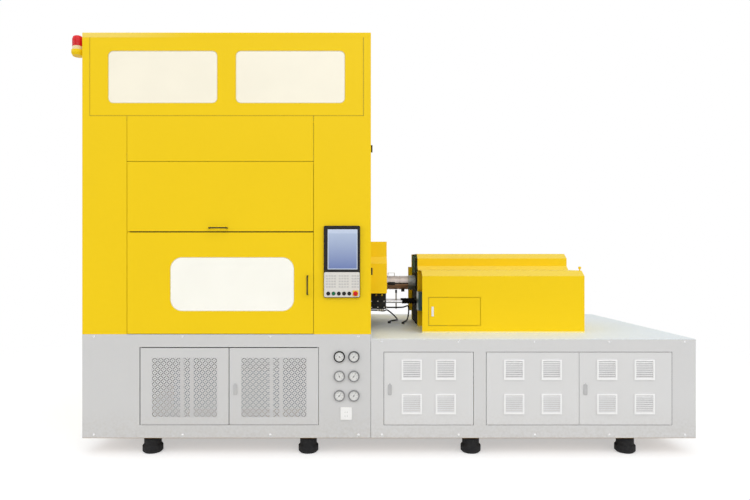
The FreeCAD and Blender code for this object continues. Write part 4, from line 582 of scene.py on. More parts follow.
# Each finish: its maker, its name, its colour or the colour's name in the settings, and more.
RECIPES = {
    "frame_paint": (paint, "Frame Paint", (0.045, 0.046, 0.05), dict(dust=0.3)),
    "grey_paint": (paint, "Left Base Paint", "left_grey", dict(dust=0.25)),
    "light_paint": (paint, "Right Base Paint", "right_grey", dict(dust=0.25)),
    "rear_paint": (paint, "Rear Base Paint", "right_grey", dict(dust=0.25, shade=REAR)),
    "end_paint": (paint, "End Panel Paint", "left_grey", dict(dust=0.25, shade=ENDS)),
    "louvred_paint": (louvred_paint, "Louvred Door Paint", "right_grey", dict(lift=1.06)),
    "deck_paint": (paint, "Deck Paint", "deck", dict(mottle=0.025, gloss=0.7)),
    "unit_paint": (paint, "Unit Enamel", "casting", dict(gloss=0.3, coat=0.3)),
    "hydraulic_paint": (
        paint, "Hydraulic Paint", (0.045, 0.12, 0.2), dict(dust=0.3, shade=dark_lid)
    ),
    "yellow_paint": (yellow_paint, "Yellow Powder Coat", "yellow", dict(film=0.18)),
    "wall_paint": (
        yellow_paint, "Hinge Wall Powder Coat", "yellow", dict(shade=black_knuckles)
    ),
    "roof_paint": (
        yellow_paint, "Roof Powder Coat", "yellow", dict(shade=painted_lip_highlight, film=0.08)
    ),
    "cover_paint": (
        yellow_paint, "Cover Powder Coat", "yellow", dict(shade=cover_seal, film=0.27)
    ),
    "cover_door_paint": (
        yellow_paint, "Cover Door Powder Coat", "yellow", dict(shade=WHITE_PULL)
    ),
    "bracket_paint": (yellow_paint, "Bracket Powder Coat", "yellow", dict(shade=painted_rim_shadow)),
    "bed_enamel": (bed_enamel, "Bed Enamel And Rods", "casting", {}),
    "bed_steel": (metal, "Machined Steel", (0.42, 0.42, 0.43), dict(streaks=(40, 3, 40))),
    "chromed_steel": (
        metal,
        "Ground Steel",
        (0.74, 0.74, 0.75),
        dict(streaks=(1, 60, 60), contrast=0.12, gloss=0.16),
    ),
    "heater_metal": (
        metal,
        "Heater Bands",
        (0.46, 0.41, 0.39),
        dict(streaks=(30, 1.5, 1.5), contrast=0.2, gloss=0.42, shade=barrel_lower_shade),
    ),
    "latch_zinc": (
        metal,
        "Satin Latch",
        (0.5, 0.5, 0.5),
        dict(streaks=(60, 60, 2), contrast=0.2, gloss=0.5, metallic=0.35),
    ),
    "fitting_zinc": (
        metal,
        "Zinc Fittings",
        (0.62, 0.6, 0.55),
        dict(streaks=(30, 30, 30), contrast=0.3, gloss=0.3),
    ),
    "mount_rubber": (
        plastic,
        "Mount Rubber",
        NEAR_BLACK,
        dict(wear=0.03, gloss=0.6, shine=0.2, shade=mount_colours),
    ),
    "gauge_plastic": (plastic, "Grey Gauge Housing", (0.26, 0.26, 0.265), dict(gloss=0.3)),
    "gauge_black": (
        plastic, "Black Gauge Housing", (0.01, 0.01, 0.011), dict(wear=0.01, gloss=0.25, shine=0.2)
    ),
    "gauge_dark": (plastic, "Dark Gauge Housing", (0.09, 0.09, 0.095), dict(gloss=0.3)),
    "gauge_glass": (clear_glass, "Gauge Glass", (0.97, 0.98, 0.98), {}),
    "dial_white": (plastic, "White Dial", (0.8, 0.8, 0.78), dict(wear=0.02, gloss=0.5)),
    "white_plastic": (plastic, "White Plastic", (0.93, 0.93, 0.915), dict(wear=0.03, gloss=0.35)),
    "black_plastic": (
        plastic, "Black Plastic", "black", dict(wear=0.012, gloss=0.36, shine=0.16)
    ),
    "green_plastic": (
        plastic, "Green Button", (0.005, 0.17, 0.07), dict(wear=0.01, gloss=0.25, shine=0.25)
    ),
    "red_plastic": (
        plastic, "Red Stop Cap", (0.62, 0.006, 0.01), dict(wear=0.01, gloss=0.25, shine=0.25)
    ),
    "key_foil": (
        plastic, "Key Foil", (0.75, 0.73, 0.68), dict(wear=0.05, gloss=0.45, shade=YELLOW_STOP_RING)
    ),
    "key_grey": (plastic, "Grey Keys", (0.58, 0.57, 0.55), dict(wear=0.03, gloss=0.5)),
    "plug_yellow": (plastic, "Yellow Plugs", (0.85, 0.6, 0.03), dict(wear=0.03)),
    "carriage_black": (
        plastic,
        "Carriage Black",
        (0.007, 0.007, 0.008),
        dict(grain=300, wear=0.01, gloss=0.7, bump=0.3, shine=0.1, shade=plate_and_casting),
    ),
    "valve_metal": (
        plastic,
        "Black Valve Casting",
        (0.014, 0.014, 0.016),
        dict(grain=260, wear=0.05, gloss=0.5, bump=0.5, shine=0.3, shade=zinc_union),
    ),
    "hose_rubber": (
        plastic,
        "Hose Rubber",
        NEAR_BLACK,
        dict(grain=420, wear=0.03, gloss=0.5, bump=0.4, shine=0.3),
    ),
    "socket_dark": (plastic, "Socket Holes", (0.02, 0.02, 0.02), dict(wear=0.02, gloss=0.5)),
    "needle_black": (plastic, "Black Ink", (0.015, 0.015, 0.016), dict(wear=0.0, gloss=0.5)),
    "beacon_cream": (
        plastic, "Beacon Collar", (0.86, 0.72, 0.4), dict(wear=0.03, gloss=0.35)
    ),
    "beacon_red": (lens_plastic, "Beacon Lens", "lens", {}),
    "screen_glass": (lit_screen, "Lit Screen", "screen_low", {}),
    "clear_pane": (frosted_pane, "Frosted Pane", "pane", {}),
    "door_pane": (frosted_pane, "Door Pane", (0.985, 0.975, 0.89), {}),
    "pane_bead": (plastic, "Pane Bead", (0.74, 0.66, 0.36), dict(wear=0.02)),
}


@cache
def finish(name):
    """The material of this finish, made the first time it is asked for."""
    maker, title, colour, settings = RECIPES[name]
    if isinstance(colour, str):
        colour = getattr(colours(), colour)
    return maker(title, colour, **settings)


# ---------------------------------------------------------------------------
# Pieces

# Roundings in metres, for what the user has no setting for.
FOIL_EDGE, KEY_EDGE, PANE_EDGE = 0.0005, 0.0006, 0.0008
BAR_EDGE, CAP_EDGE, MOULDED_EDGE = 0.001, 0.0012, 0.0015

def dress(piece, body, replaced=(), material=None):
    """Gives a piece its finish and its body, and hides the CAD nodes it stands for."""
    if material:
        piece.data.materials.clear()
        piece.data.materials.append(finish(material))
    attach(piece, body)
    if replaced:
        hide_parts(*replaced)


def put(name, data):
    """An object of this data, in the scene."""
    piece = bpy.data.objects.new(name, data)
    bpy.context.scene.collection.objects.link(piece)
    return piece


def smoothed(mesh, degrees=35):
    """The mesh, smooth but for edges sharper than this."""
    mesh.shade_smooth()
    mesh.set_sharp_from_angle(angle=math.radians(degrees))
    return mesh


def mesh_from(work, name, smooth=True):
    mesh = bpy.data.meshes.new(name)
    work.to_mesh(mesh)
    work.free()
    return smoothed(mesh) if smooth else mesh


def plain_mesh(piece, name):
    """The piece's mesh with its modifiers applied. The piece itself is removed."""
    graph = bpy.context.evaluated_depsgraph_get()
    mesh = bpy.data.meshes.new_from_object(piece.evaluated_get(graph))
    bpy.data.batch_remove([piece, piece.data])
    mesh.name = name
    return mesh


def eased(piece, name, width):
    """The piece with its edges rounded."""
    rounding = piece.modifiers.new("Edge", "BEVEL")
    rounding.width = width
    rounding.segments = 2
    rounding.limit_method = "ANGLE"
    rounding.angle_limit = math.radians(30)
    rounding.use_clamp_overlap = True
    normals = piece.modifiers.new("Flat Faces", "WEIGHTED_NORMAL")
    normals.mode = "FACE_AREA"
    normals.weight = 100
    normals.keep_sharp = True
    return put(name, plain_mesh(piece, name))


def folded(node, name, material, width):
    """A CAD node with rounded edges, in its finish."""
    work = bmesh.new()
    work.from_mesh(frame["nodes"][node].data)
    bmesh.ops.remove_doubles(work, verts=work.verts, dist=2e-5)
    piece = eased(put("work", mesh_from(work, name)), name, width)
    dress(piece, BODY_OF[node], [node], material)


def folded_all(finishes, ending, width):
    """The CAD nodes with rounded edges, each in its finish."""
    for node, material in finishes.items():
        folded(node, node + ending, material, width)


def add_box(work, low, high):
    """A box between two corners, added to a bmesh."""
    made = bmesh.ops.create_cube(work, size=1)
    middle, span = (Vector(low) + Vector(high)) / 2, Vector(high) - Vector(low)
    for vert in made["verts"]:
        vert.co = Vector([middle[i] + vert.co[i] * span[i] for i in range(3)])


def box_part(name, low, high):
    """A little box as a part for the trees, about its own middle."""
    work = bmesh.new()
    add_box(work, low, high)
    return put(name, mesh_from(work, name, False))


AXES = {
    "x": Matrix(((0, 0, 1), (1, 0, 0), (0, 1, 0))),
    "y": Matrix(((1, 0, 0), (0, 0, 1), (0, -1, 0))),
    "z": Matrix.Identity(3),
}


def add_lathe(work, centre, axis, profile, steps=48):
    """A turned form. profile is (radius, distance along the axis) in metres, from one end."""
    rings = []
    for radius, along in profile:
        count = steps if radius > 1e-6 else 1
        ring = []
        for i in range(count):
            angle = 2 * math.pi * i / steps
            spot = Vector((radius * math.cos(angle), radius * math.sin(angle), along))
            ring.append(work.verts.new(centre + AXES[axis] @ spot))
        rings.append(ring)
    made = []
    for first, second in zip(rings, rings[1:]):
        for i in range(steps):
            j = (i + 1) % steps
            corners = [first[i % len(first)], first[j % len(first)]]
            corners += [second[j % len(second)], second[i % len(second)]]
            corners = list(dict.fromkeys(corners))
            if len(corners) > 2:
                made.append(work.faces.new(corners))
    bmesh.ops.recalc_face_normals(work, faces=made)


def add_rod(work, start, axis, radius, long, steps):
    """A closed round bar from its start along an axis."""
    add_lathe(work, start, axis, [(0, 0), (radius, 0), (radius, long), (0, long)], steps)


def lathe(name, centre, axis, profile, steps=48, material=None):
    """A turned form as a piece of its own."""
    work = bmesh.new()
    add_lathe(work, Vector(centre), axis, profile, steps)
    piece = put(name, mesh_from(work, name))
    if material:
        piece.data.materials.append(finish(material))
    return piece


def joined(name, pieces):
    """Several pieces made one mesh, with all their finishes."""
    work = bmesh.new()
    materials = []
    for piece in pieces:
        start = len(work.faces)
        work.from_mesh(piece.data)
        work.faces.ensure_lookup_table()
        index_of = {}
        for index, material in enumerate(piece.data.materials):
            if material not in materials:
                materials.append(material)
            index_of[index] = materials.index(material)
        for face in work.faces[start:]:
            face.material_index = index_of.get(face.material_index, 0)
        bpy.data.objects.remove(piece)
    result = put(name, mesh_from(work, name))
    for material in materials:
        result.data.materials.append(material)
    return result


# ---------------------------------------------------------------------------
# Repeated parts, by Geometry Nodes


def geo(group, kind, inputs=None, **settings):
    """The first output of a geometry node."""
    return add_node(group, "GeometryNode" + kind, inputs, **settings).outputs[0]


def end_tree(group, given, out, made):
    """Realize Instances and Set Material, the last nodes of each tree."""
    group.is_modifier = True
    real = geo(group, "RealizeInstances", {"Geometry": made})
    done = geo(group, "SetMaterial", {"Geometry": real, "Material": given["Finish"]})
    group.links.new(done, out.inputs["Geometry"])
    return group


def repeat_tree(name, sockets, points):
    """A tree that puts a part on points and makes it one mesh with one finish."""
    inputs = {"Geometry": GEOMETRY, **sockets}
    inputs |= {"Centre": VECTOR, "Part": "NodeSocketObject", "Finish": FINISH}
    group, given, out = new_group(name, "GeometryNodeTree", inputs, {"Geometry": GEOMETRY})
    placing = points(group, given)
    part = add_node(group, "GeometryNodeObjectInfo", {"Object": given["Part"]})
    placing["Instance"] = part.outputs["Geometry"]
    placed = geo(group, "InstanceOnPoints", placing)
    moved = geo(group, "Transform", {"Geometry": placed, "Translation": given["Centre"]})
    return end_tree(group, given, out, moved)


@cache
def scatter_tree():
    """The part on each vertex of the modifier's own mesh."""
    return repeat_tree("Parts On Points", {}, lambda group, given: {"Points": given["Geometry"]})


@cache
def grid_tree():
    """The part in columns and rows on an upright face."""

    def points(group, given):
        inputs = {"Vertices X": given["Columns"], "Vertices Y": given["Rows"]}
        for side, count, pitch in (("X", "Columns", "Column Pitch"), ("Y", "Rows", "Row Pitch")):
            steps = math_node(group, "SUBTRACT", given[count], 1.0)
            inputs["Size " + side] = times(group, steps, given[pitch])
        grid = geo(group, "MeshGrid", inputs)
        upright = {"Geometry": grid, "Rotation": (math.pi / 2, 0, 0)}
        return {"Points": geo(group, "Transform", upright)}

    counts = dict.fromkeys(("Columns", "Rows"), "NodeSocketInt")
    pitches = dict.fromkeys(("Column Pitch", "Row Pitch"), FLOAT)
    return repeat_tree("Parts In A Grid", counts | pitches, points)


@cache
def ring_tree():
    """The part round a circle or an arc of it, turned to point outwards."""

    def points(group, given):
        inputs = {
            "Resolution": given["Count"],
            "Radius": given["Radius"],
            "Start Angle": given["Start"],
            "Sweep Angle": given["Sweep"],
        }
        arc = geo(group, "CurveArc", inputs)
        spots = geo(group, "CurveToPoints", {"Curve": arc}, mode="EVALUATED")
        tilted = geo(group, "Transform", {"Geometry": spots, "Rotation": given["Tilt"]})
        outward = add_node(
            group,
            "FunctionNodeAlignRotationToVector",
            {"Vector": geo(group, "InputPosition")},
            axis="X",
            pivot_axis="AUTO",
        )
        return {"Points": tilted, "Rotation": outward.outputs[0]}

    sockets = {"Count": "NodeSocketInt", "Radius": FLOAT, "Start": FLOAT, "Sweep": FLOAT}
    return repeat_tree("Parts Round A Ring", sockets | {"Tilt": VECTOR}, points)


@cache
def bead_tree():
    """A round bead along a rounded rectangle on an upright face."""
    inputs = {"Geometry": GEOMETRY}
    inputs |= dict.fromkeys(("Width", "Height", "Corner", "Thickness"), FLOAT)
    inputs |= {"Centre": VECTOR, "Finish": FINISH}
    group, given, out = new_group(
        "Bead Round A Pane", "GeometryNodeTree", inputs, {"Geometry": GEOMETRY}
    )
    outline = {"Width": given["Width"], "Height": given["Height"]}
    outline = geo(group, "CurvePrimitiveQuadrilateral", outline)
    rounded = {"Curve": outline, "Radius": given["Corner"], "Count": 8}
    rounded = geo(group, "FilletCurve", rounded, mode="POLY")
    upright = {"Geometry": rounded, "Rotation": (math.pi / 2, 0, 0), "Translation": given["Centre"]}
    upright = geo(group, "Transform", upright)
    half = times(group, given["Thickness"], 0.5)
    section = geo(group, "CurvePrimitiveCircle", {"Resolution": 8, "Radius": half})
    bead = geo(group, "CurveToMesh", {"Curve": upright, "Profile Curve": section})
    return end_tree(group, given, out, bead)


def shaped(name, tree, points=(), **values):
    """A plain mesh that a tree makes from its inputs, which are set by their names here."""
    mesh = bpy.data.meshes.new(name)
    mesh.from_pydata([tuple(point) for point in points], [], [])
    piece = put("work", mesh)
    growth = piece.modifiers.new("Growth", "NODES")
    growth.node_group = tree
    for socket in tree.interface.items_tree:
        if socket.in_out == "INPUT" and socket.name in values:
            growth[socket.identifier] = values[socket.name]
    return put(name, smoothed(plain_mesh(piece, name)))


def grown(name, tree, part, material, centre=(0, 0, 0), points=(), **values):
    """A plain mesh of repeated parts from one of the trees. part is removed afterwards."""
    values = {"Part": part, "Finish": finish(material), "Centre": Vector(centre), **values}
    done = shaped(name, tree, points, **values)
    bpy.data.objects.remove(part)
    return done


# ---------------------------------------------------------------------------
# Operators


def seen_directly(tree):
    """1 for rays that show the surroundings, and 0 for those that only light the machine."""
    rays = tree.nodes.new("ShaderNodeLightPath").outputs
    mask = math_node(tree, "MAXIMUM", rays["Is Camera Ray"], rays["Is Glossy Ray"])
    return math_node(tree, "MAXIMUM", mask, rays["Is Transmission Ray"])


class MachineOperator(Operator):
    """Shared base: an operator that can be undone."""

    bl_options = {"REGISTER", "UNDO"}


class BLOW_OT_stage(MachineOperator):
    """Camera at the photograph's place, pale floor, plain studio light"""

    bl_idname = "blow_moulder.stage"
    bl_label = "Stage"

    CAMERA = (-0.168, -6.158, 1.719)
    LENS, SENSOR = 27.456, 36
    SHIFT = (0.016, 0.0127)
    # Name, direction that the light comes from, strength and spread in degrees.
    LIGHTS = (
        ("Front Light", (0.14, -0.74, 0.66), 0.87, 60),
        ("Right Light", (0.86, -0.4, 0.32), 0.35, 40),
        ("Left Light", (-0.86, -0.4, 0.32), 0.45, 40),
    )
    AMBIENT, FLOOR_GLOW, FLOOR_FADE = 0.62, 0.46, (3.2, 8.0)

    def execute(self, context):
        scene = context.scene
        scene.view_settings.view_transform = "Standard"
        scene.cycles.denoising_prefilter = "FAST"  # keeps the fine perforations
        lens = bpy.data.cameras.new("Front Camera")
        lens.lens, lens.sensor_width = self.LENS, self.SENSOR
        lens.shift_x, lens.shift_y = self.SHIFT
        camera = put("Front Camera", lens)
        camera.location = self.CAMERA
        camera.rotation_euler = (math.pi / 2, 0, 0)
        scene.camera = camera
        self.light_world(scene)
        self.lay_floor()
        for name, source, strength, spread in self.LIGHTS:
            light = bpy.data.lights.new(name, "SUN")
            light.energy = strength
            light.angle = math.radians(spread)
            lamp = put(name, light)
            lamp.location = Vector(source) * 9
            lamp.rotation_euler = Vector(source).to_track_quat("Z", "Y").to_euler()
        return {"FINISHED"}

    def light_world(self, scene):
        """A white room that lights the machine less than it shows."""
        world = bpy.data.worlds.new("Pale Room")
        scene.world = world
        world.use_nodes = True
        tree = world.node_tree
        tree.nodes.clear()
        strength = map_range(tree, seen_directly(tree), 0, 1, self.AMBIENT, 1)
        sky = add_node(tree, "ShaderNodeBackground", {"Color": (1, 1, 1, 1), "Strength": strength})
        add_node(tree, "ShaderNodeOutputWorld", {"Surface": sky.outputs[0]})

    def lay_floor(self):
        """A pale floor that fades to white away from the machine."""
        material, tree, shader, where = start_material("Pale Floor")
        tone = mix_colour(tree, noise(tree, where, 3, 2), (0.7, 0.7, 0.7), (0.73, 0.73, 0.73))
        inputs = {"Base Color": tone, "Roughness": 0.9, "Specular IOR Level": 0.1}
        set_inputs(tree, shader, inputs)
        reach = add_node(tree, "ShaderNodeVectorMath", {0: where}, operation="LENGTH")
        far = map_range(tree, reach.outputs["Value"], *self.FLOOR_FADE, smooth=True)
        seen = seen_directly(tree)
        glow, white = (
            add_node(tree, "ShaderNodeEmission", {"Color": (1, 1, 1, 1), "Strength": strength})
            for strength in (times(tree, seen, self.FLOOR_GLOW), 1)
        )
        lifted = add_node(tree, "ShaderNodeAddShader", {0: shader.outputs[0], 1: glow.outputs[0]})
        parts = {0: times(tree, far, seen), 1: lifted.outputs[0], 2: white.outputs[0]}
        mixed = add_node(tree, "ShaderNodeMixShader", parts)
        end = next(node for node in tree.nodes if node.type == "OUTPUT_MATERIAL")
        tree.links.new(mixed.outputs[0], end.inputs["Surface"])
        work = bmesh.new()
        bmesh.ops.create_grid(work, x_segments=4, y_segments=4, size=30)
        floor = put("Floor", mesh_from(work, "Floor", False))
        floor.data.materials.append(material)


class BLOW_OT_hoses(MachineOperator):
    """The two rubber hoses from the valve block and the tower's wall to the deck"""

    bl_idname = "blow_moulder.hoses"
    bl_label = "Hoses"

    DIAMETER = 0.016
    # Millimetres, x from the tower's right wall. They stay within 32 mm of the CAD's tubes.
    ROUTES = {
        "hose_1": (
            (188, 1075, 1208), (246, 1075, 1208), (300, 1115, 1205), (344, 1200, 1198),
            (382, 1300, 1193), (415, 1395, 1196), (445, 1491, 1194), (455, 1537, 1160),
            (456, 1551, 1110), (446, 1530, 1059), (430, 1479, 1028), (410, 1400, 1028),
            (385, 1318, 1028), (365, 1258, 1028), (365, 1208, 1028),
        ),
        "hose_2": (
            (14, 1200, 1168), (72, 1200, 1168), (118, 1234, 1160), (142, 1306, 1150),
            (162, 1392, 1142), (178, 1482, 1138), (192, 1567, 1136), (210, 1641, 1133),
            (250, 1682, 1104), (299, 1675, 1060), (329, 1620, 1028), (323, 1528, 1028),
            (255, 1448, 1028), (231, 1388, 1028), (219, 1337, 1028), (219, 1280, 1028),
        ),
    }
    LENGTHS = {"hose_1": 1.051, "hose_2": 1.11}

    def execute(self, context):
        for node, route in self.ROUTES.items():
            spots = [at(WALL + x, y, z) for x, y, z in route]
            curve = bpy.data.curves.new(node + "_rubber", "CURVE")
            curve.dimensions = "3D"
            curve.bevel_depth = self.DIAMETER / 2
            curve.bevel_resolution = 6
            curve.use_fill_caps = True
            line = curve.splines.new("NURBS")
            line.points.add(len(spots) - 1)
            for point, spot in zip(line.points, spots):
                point.co = (*spot, 1)
            line.order_u = 3
            line.use_endpoint_u = True
            line.resolution_u = 10
            curve.materials.append(finish("hose_rubber"))
            hose = put(node + "_rubber", curve)
            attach(hose, "machine")
            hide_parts(node)
        return {"FINISHED"}


class BLOW_OT_sheet_metal(MachineOperator):
    """Folded sheet metal of the base, the tower and the covers"""

    bl_idname = "blow_moulder.sheet_metal"
    bl_label = "Sheet Metal"

    FINISHES = {
        "left_base_front_panel": "grey_paint",
        "right_base_front_panel": "light_paint",
        "base_end_panels": "end_paint",
        "base_rear_panels": "rear_paint",
        "deck_plate": "deck_paint",
        "tower_left_wall": "yellow_paint",
        "tower_right_wall": "wall_paint",
        "tower_rear_wall": "yellow_paint",
        "tower_roof": "roof_paint",
        "left_column_panel": "yellow_paint",
        "right_column_panel": "yellow_paint",
        "header_panel": "yellow_paint",
        "window_panel": "yellow_paint",
        "nozzle_guard": "yellow_paint",
        "front_cover": "cover_paint",
        "tall_cover": "cover_paint",
    }

    def execute(self, context):
        folded_all(self.FINISHES, "_sheet", sizes().sheet_edge)
        return {"FINISHED"}


class BLOW_OT_doors(MachineOperator):
    """The hinged doors and the handles on them"""

    bl_idname = "blow_moulder.doors"
    bl_label = "Doors"

    SHEETS = {
        "lift_door": "yellow_paint",
        "front_door": "yellow_paint",
        "side_door": "wall_paint",
        "cover_door": "cover_door_paint",
        "base_door_1": "louvred_paint",
        "base_door_2": "louvred_paint",
        "base_door_3": "louvred_paint",
    }
    HANDLES = ("lift_door_handle", "front_door_handle")
    LATCHES = ("perforated_door_latch", "base_door_1_latch", "base_door_3_latch")

    def execute(self, context):
        edge = sizes().sheet_edge
        folded_all(self.SHEETS, "_sheet", edge)
        folded_all(dict.fromkeys(self.HANDLES, "black_plastic"), "_bow", edge)
        folded_all(dict.fromkeys(self.LATCHES, "latch_zinc"), "_pull", edge)
        return {"FINISHED"}


class BLOW_OT_windows(MachineOperator):
    """Frosted panes of the tower and of the front door, with a bead round each"""

    bl_idname = "blow_moulder.windows"
    bl_label = "Windows"

    OVERLAP = 0.005  # the bead's middle stands this much less wide and tall than the opening
    # Bead, body, left end, foot, width, height and corner radius of the opening.
    OPENINGS = (
        ("door_pane_bead", "front_door", 774, 1264, 1091, 476, 105),
        ("left_pane_bead", "machine", 228, 3095, 962, 462, 45),
        ("right_pane_bead", "machine", 1351, 3095, 962, 462, 45),
    )

    def execute(self, context):
        folded("window_panes", "upper_panes", "clear_pane", PANE_EDGE)
        folded("front_door_window", "door_pane", "door_pane", PANE_EDGE)
        for name, body, left, low, wide, tall, corner in self.OPENINGS:
            bead = shaped(
                name,
                bead_tree(),
                Width=wide / 1000 - self.OVERLAP,
                Height=tall / 1000 - self.OVERLAP,
                Corner=corner / 1000,
                Thickness=sizes().bead,
                Centre=at(left + wide / 2, 2.4, low + tall / 2),
                Finish=finish("pane_bead"),
            )
            dress(bead, body)
        return {"FINISHED"}


class BLOW_OT_perforated_doors(MachineOperator):
    """Doors with slanted slots and round holes between them, on a pan with folded edges"""

    bl_idname = "blow_moulder.perforated_doors"
    bl_label = "Perforated Doors"

    COLUMNS, ROWS = 11, 10
    CENTRE_Z = 0.5935
    FOOT, TOP = 0.266, 0.94
    SKIN = 0.002
    PIN, PIN_DEPTH = 0.005, 0.01
    HINGE_ROOM = 0.003
    SORTING = Vector((1, math.e, math.pi))
    UPRIGHTS = (4.54, 6.17)  # in pattern cells from the pattern's left end, less half a cell
    UPRIGHT_HALF, UPRIGHT_FRONT, UPRIGHT_BACK = 0.015, 0.0035, 0.012

    def outlines(self):
        """A cell's edge with its quarter dots, the dot in the middle and four slanted slots."""
        pitch = sizes().perforation_pitch
        half, radius = pitch / 2, sizes().dot / 2

        def on_dot(angle):
            return Vector((math.cos(angle), math.sin(angle))) * radius

        edge = []
        for corner in range(4):
            turn = Matrix.Rotation(corner * math.pi / 2, 2)
            for step in range(4):
                spot = Vector((half, half)) + on_dot(-math.pi / 2 - step * math.pi / 6)
                edge.append(turn @ spot)
        loops = [edge, [on_dot(math.pi / 4 * step) for step in range(8)]]
        run = (sizes().slot_length - sizes().slot_width) / 2
        end = sizes().slot_width / 2
        for sign_x, sign_z in ((1, 1), (-1, 1), (-1, -1), (1, -1)):
            turn = Matrix.Rotation(-sign_x * sign_z * math.pi / 4, 2)
            middle = Vector((sign_x * pitch / 4, sign_z * pitch / 4))
            slot = []
            for side in (1, -1):
                for step in range(4):
                    angle = -math.pi / 2 + step * math.pi / 3
                    spot = Vector((run + math.cos(angle) * end, math.sin(angle) * end))
                    slot.append(middle + turn @ (spot * side))
            loops.append(slot)
        return loops

    def cell(self):
        """One cell of the pattern as a piece of sheet."""
        work = bmesh.new()
        edges = []
        for loop in self.outlines():
            verts = [work.verts.new((spot.x, 0, spot.y)) for spot in loop]
            edges += [work.edges.new(pair) for pair in zip(verts, verts[1:] + verts[:1])]
        bmesh.ops.triangle_fill(work, edges=edges, use_beauty=True, normal=(0, -1, 0))
        bmesh.ops.recalc_face_normals(work, faces=work.faces)
        if sum(face.normal.y for face in work.faces) > 0:
            bmesh.ops.reverse_faces(work, faces=work.faces)
        made = bmesh.ops.extrude_face_region(work, geom=list(work.faces))
        verts = [item for item in made["geom"] if isinstance(item, bmesh.types.BMVert)]
        bmesh.ops.translate(work, verts=verts, vec=(0, self.SKIN, 0))
        bmesh.ops.recalc_face_normals(work, faces=work.faces)
        # Extruding puts the parts in an order that varies, and each run is to give the same.
        work.verts.sort(key=lambda vert: vert.co.dot(self.SORTING))
        work.faces.sort(key=lambda face: face.calc_center_median().dot(self.SORTING))
        return put("cell", mesh_from(work, "cell", False))

    def pan(self, low, high, sides, ends, pin_x, pin_ends):
        """The skin round the pattern, the folded edges, the hinge pins, and two uprights."""
        (x_0, front, z_0), (x_1, back, z_1) = low, high
        (left, right), (bottom, top) = sides, ends
        skin = self.SKIN
        inner = front + skin
        work = bmesh.new()
        for corners in (
            ((x_0, front, z_0), (left, inner, z_1)),
            ((right, front, z_0), (x_1, inner, z_1)),
            ((left, front, z_0), (right, inner, bottom)),
            ((left, front, top), (right, inner, z_1)),
            ((x_0, inner, z_0), (x_0 + skin, back, z_1)),
            ((x_1 - skin, inner, z_0), (x_1, back, z_1)),
            ((x_0 + skin, inner, z_0), (x_1 - skin, back, z_0 + skin)),
            ((x_0 + skin, inner, z_1 - skin), (x_1 - skin, back, z_1)),
        ):
            add_box(work, *corners)
        for foot, head in ((pin_ends[0], z_0 + skin), (z_1 - skin, pin_ends[1])):
            start = Vector((pin_x, front + self.PIN_DEPTH, foot))
            add_rod(work, start, "z", self.PIN, head - foot, 16)
        for cells in self.UPRIGHTS:
            x = left + sizes().perforation_pitch * (0.5 + cells)
            corner = (x - self.UPRIGHT_HALF, front + self.UPRIGHT_FRONT, bottom)
            add_box(work, corner, (x + self.UPRIGHT_HALF, front + self.UPRIGHT_BACK, top))
        piece = put("pan", mesh_from(work, "pan", False))
        piece.data.materials.append(finish("grey_paint"))
        return piece

    def execute(self, context):
        pitch = sizes().perforation_pitch
        wide, tall = self.COLUMNS * pitch, self.ROWS * pitch
        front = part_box("perforated_door_left")[0][Y]
        for node in ("perforated_door_left", "perforated_door_right"):
            low, high = (Vector(corner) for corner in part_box(node))
            low.y = front
            pin_ends = (low.z, high.z)
            low.z, high.z = self.FOOT, self.TOP
            pin_x = high.x - self.PIN
            if node.endswith("left"):
                pin_x = low.x + self.PIN
                low.x, high.x = low.x + self.HINGE_ROOM, high.x - self.HINGE_ROOM
            middle = Vector(((low.x + high.x) / 2, front, self.CENTRE_Z))
            counts = {"Columns": self.COLUMNS, "Rows": self.ROWS}
            pitches = {"Column Pitch": pitch, "Row Pitch": pitch}
            skin = grown(
                "skin", grid_tree(), self.cell(), "grey_paint", middle, **counts, **pitches
            )
            sides = (middle.x - wide / 2, middle.x + wide / 2)
            ends = (middle.z - tall / 2, middle.z + tall / 2)
            pan = self.pan(low, high, sides, ends, pin_x, pin_ends)
            piece = joined(node + "_sheet", [skin, pan])
            dress(piece, BODY_OF[node], [node])
        return {"FINISHED"}


class BLOW_OT_panel_screws(MachineOperator):
    """Countersunk screws along the base's front"""

    bl_idname = "blow_moulder.panel_screws"
    bl_label = "Panel Screws"

    LEFT, LEFT_ROWS = (101, 882, 1654, 2432), (1040, 177)
    RIGHT, RIGHT_ROWS = (2637, 3315, 3984, 4642, 5306), (994, 177)

    def screw(self):
        """A head that is hollow in the middle, facing the front."""
        radius = sizes().screw_head / 2
        profile = [
            (radius, 0.001),
            (radius, -0.0012),
            (radius * 0.8, -0.003),
            (radius * 0.4, -0.0034),
            (radius * 0.35, -0.0012),
            (0, -0.0012),
        ]
        return lathe("screw", (0, 0, 0), "y", profile, 20)

    def execute(self, context):
        spots = [at(x, 0, z) for x in self.LEFT for z in self.LEFT_ROWS]
        spots += [at(x, 0, z) for x in self.RIGHT for z in self.RIGHT_ROWS]
        piece = grown(
            "base_screws", scatter_tree(), self.screw(), "chromed_steel", points=spots
        )
        dress(piece, "machine")
        return {"FINISHED"}


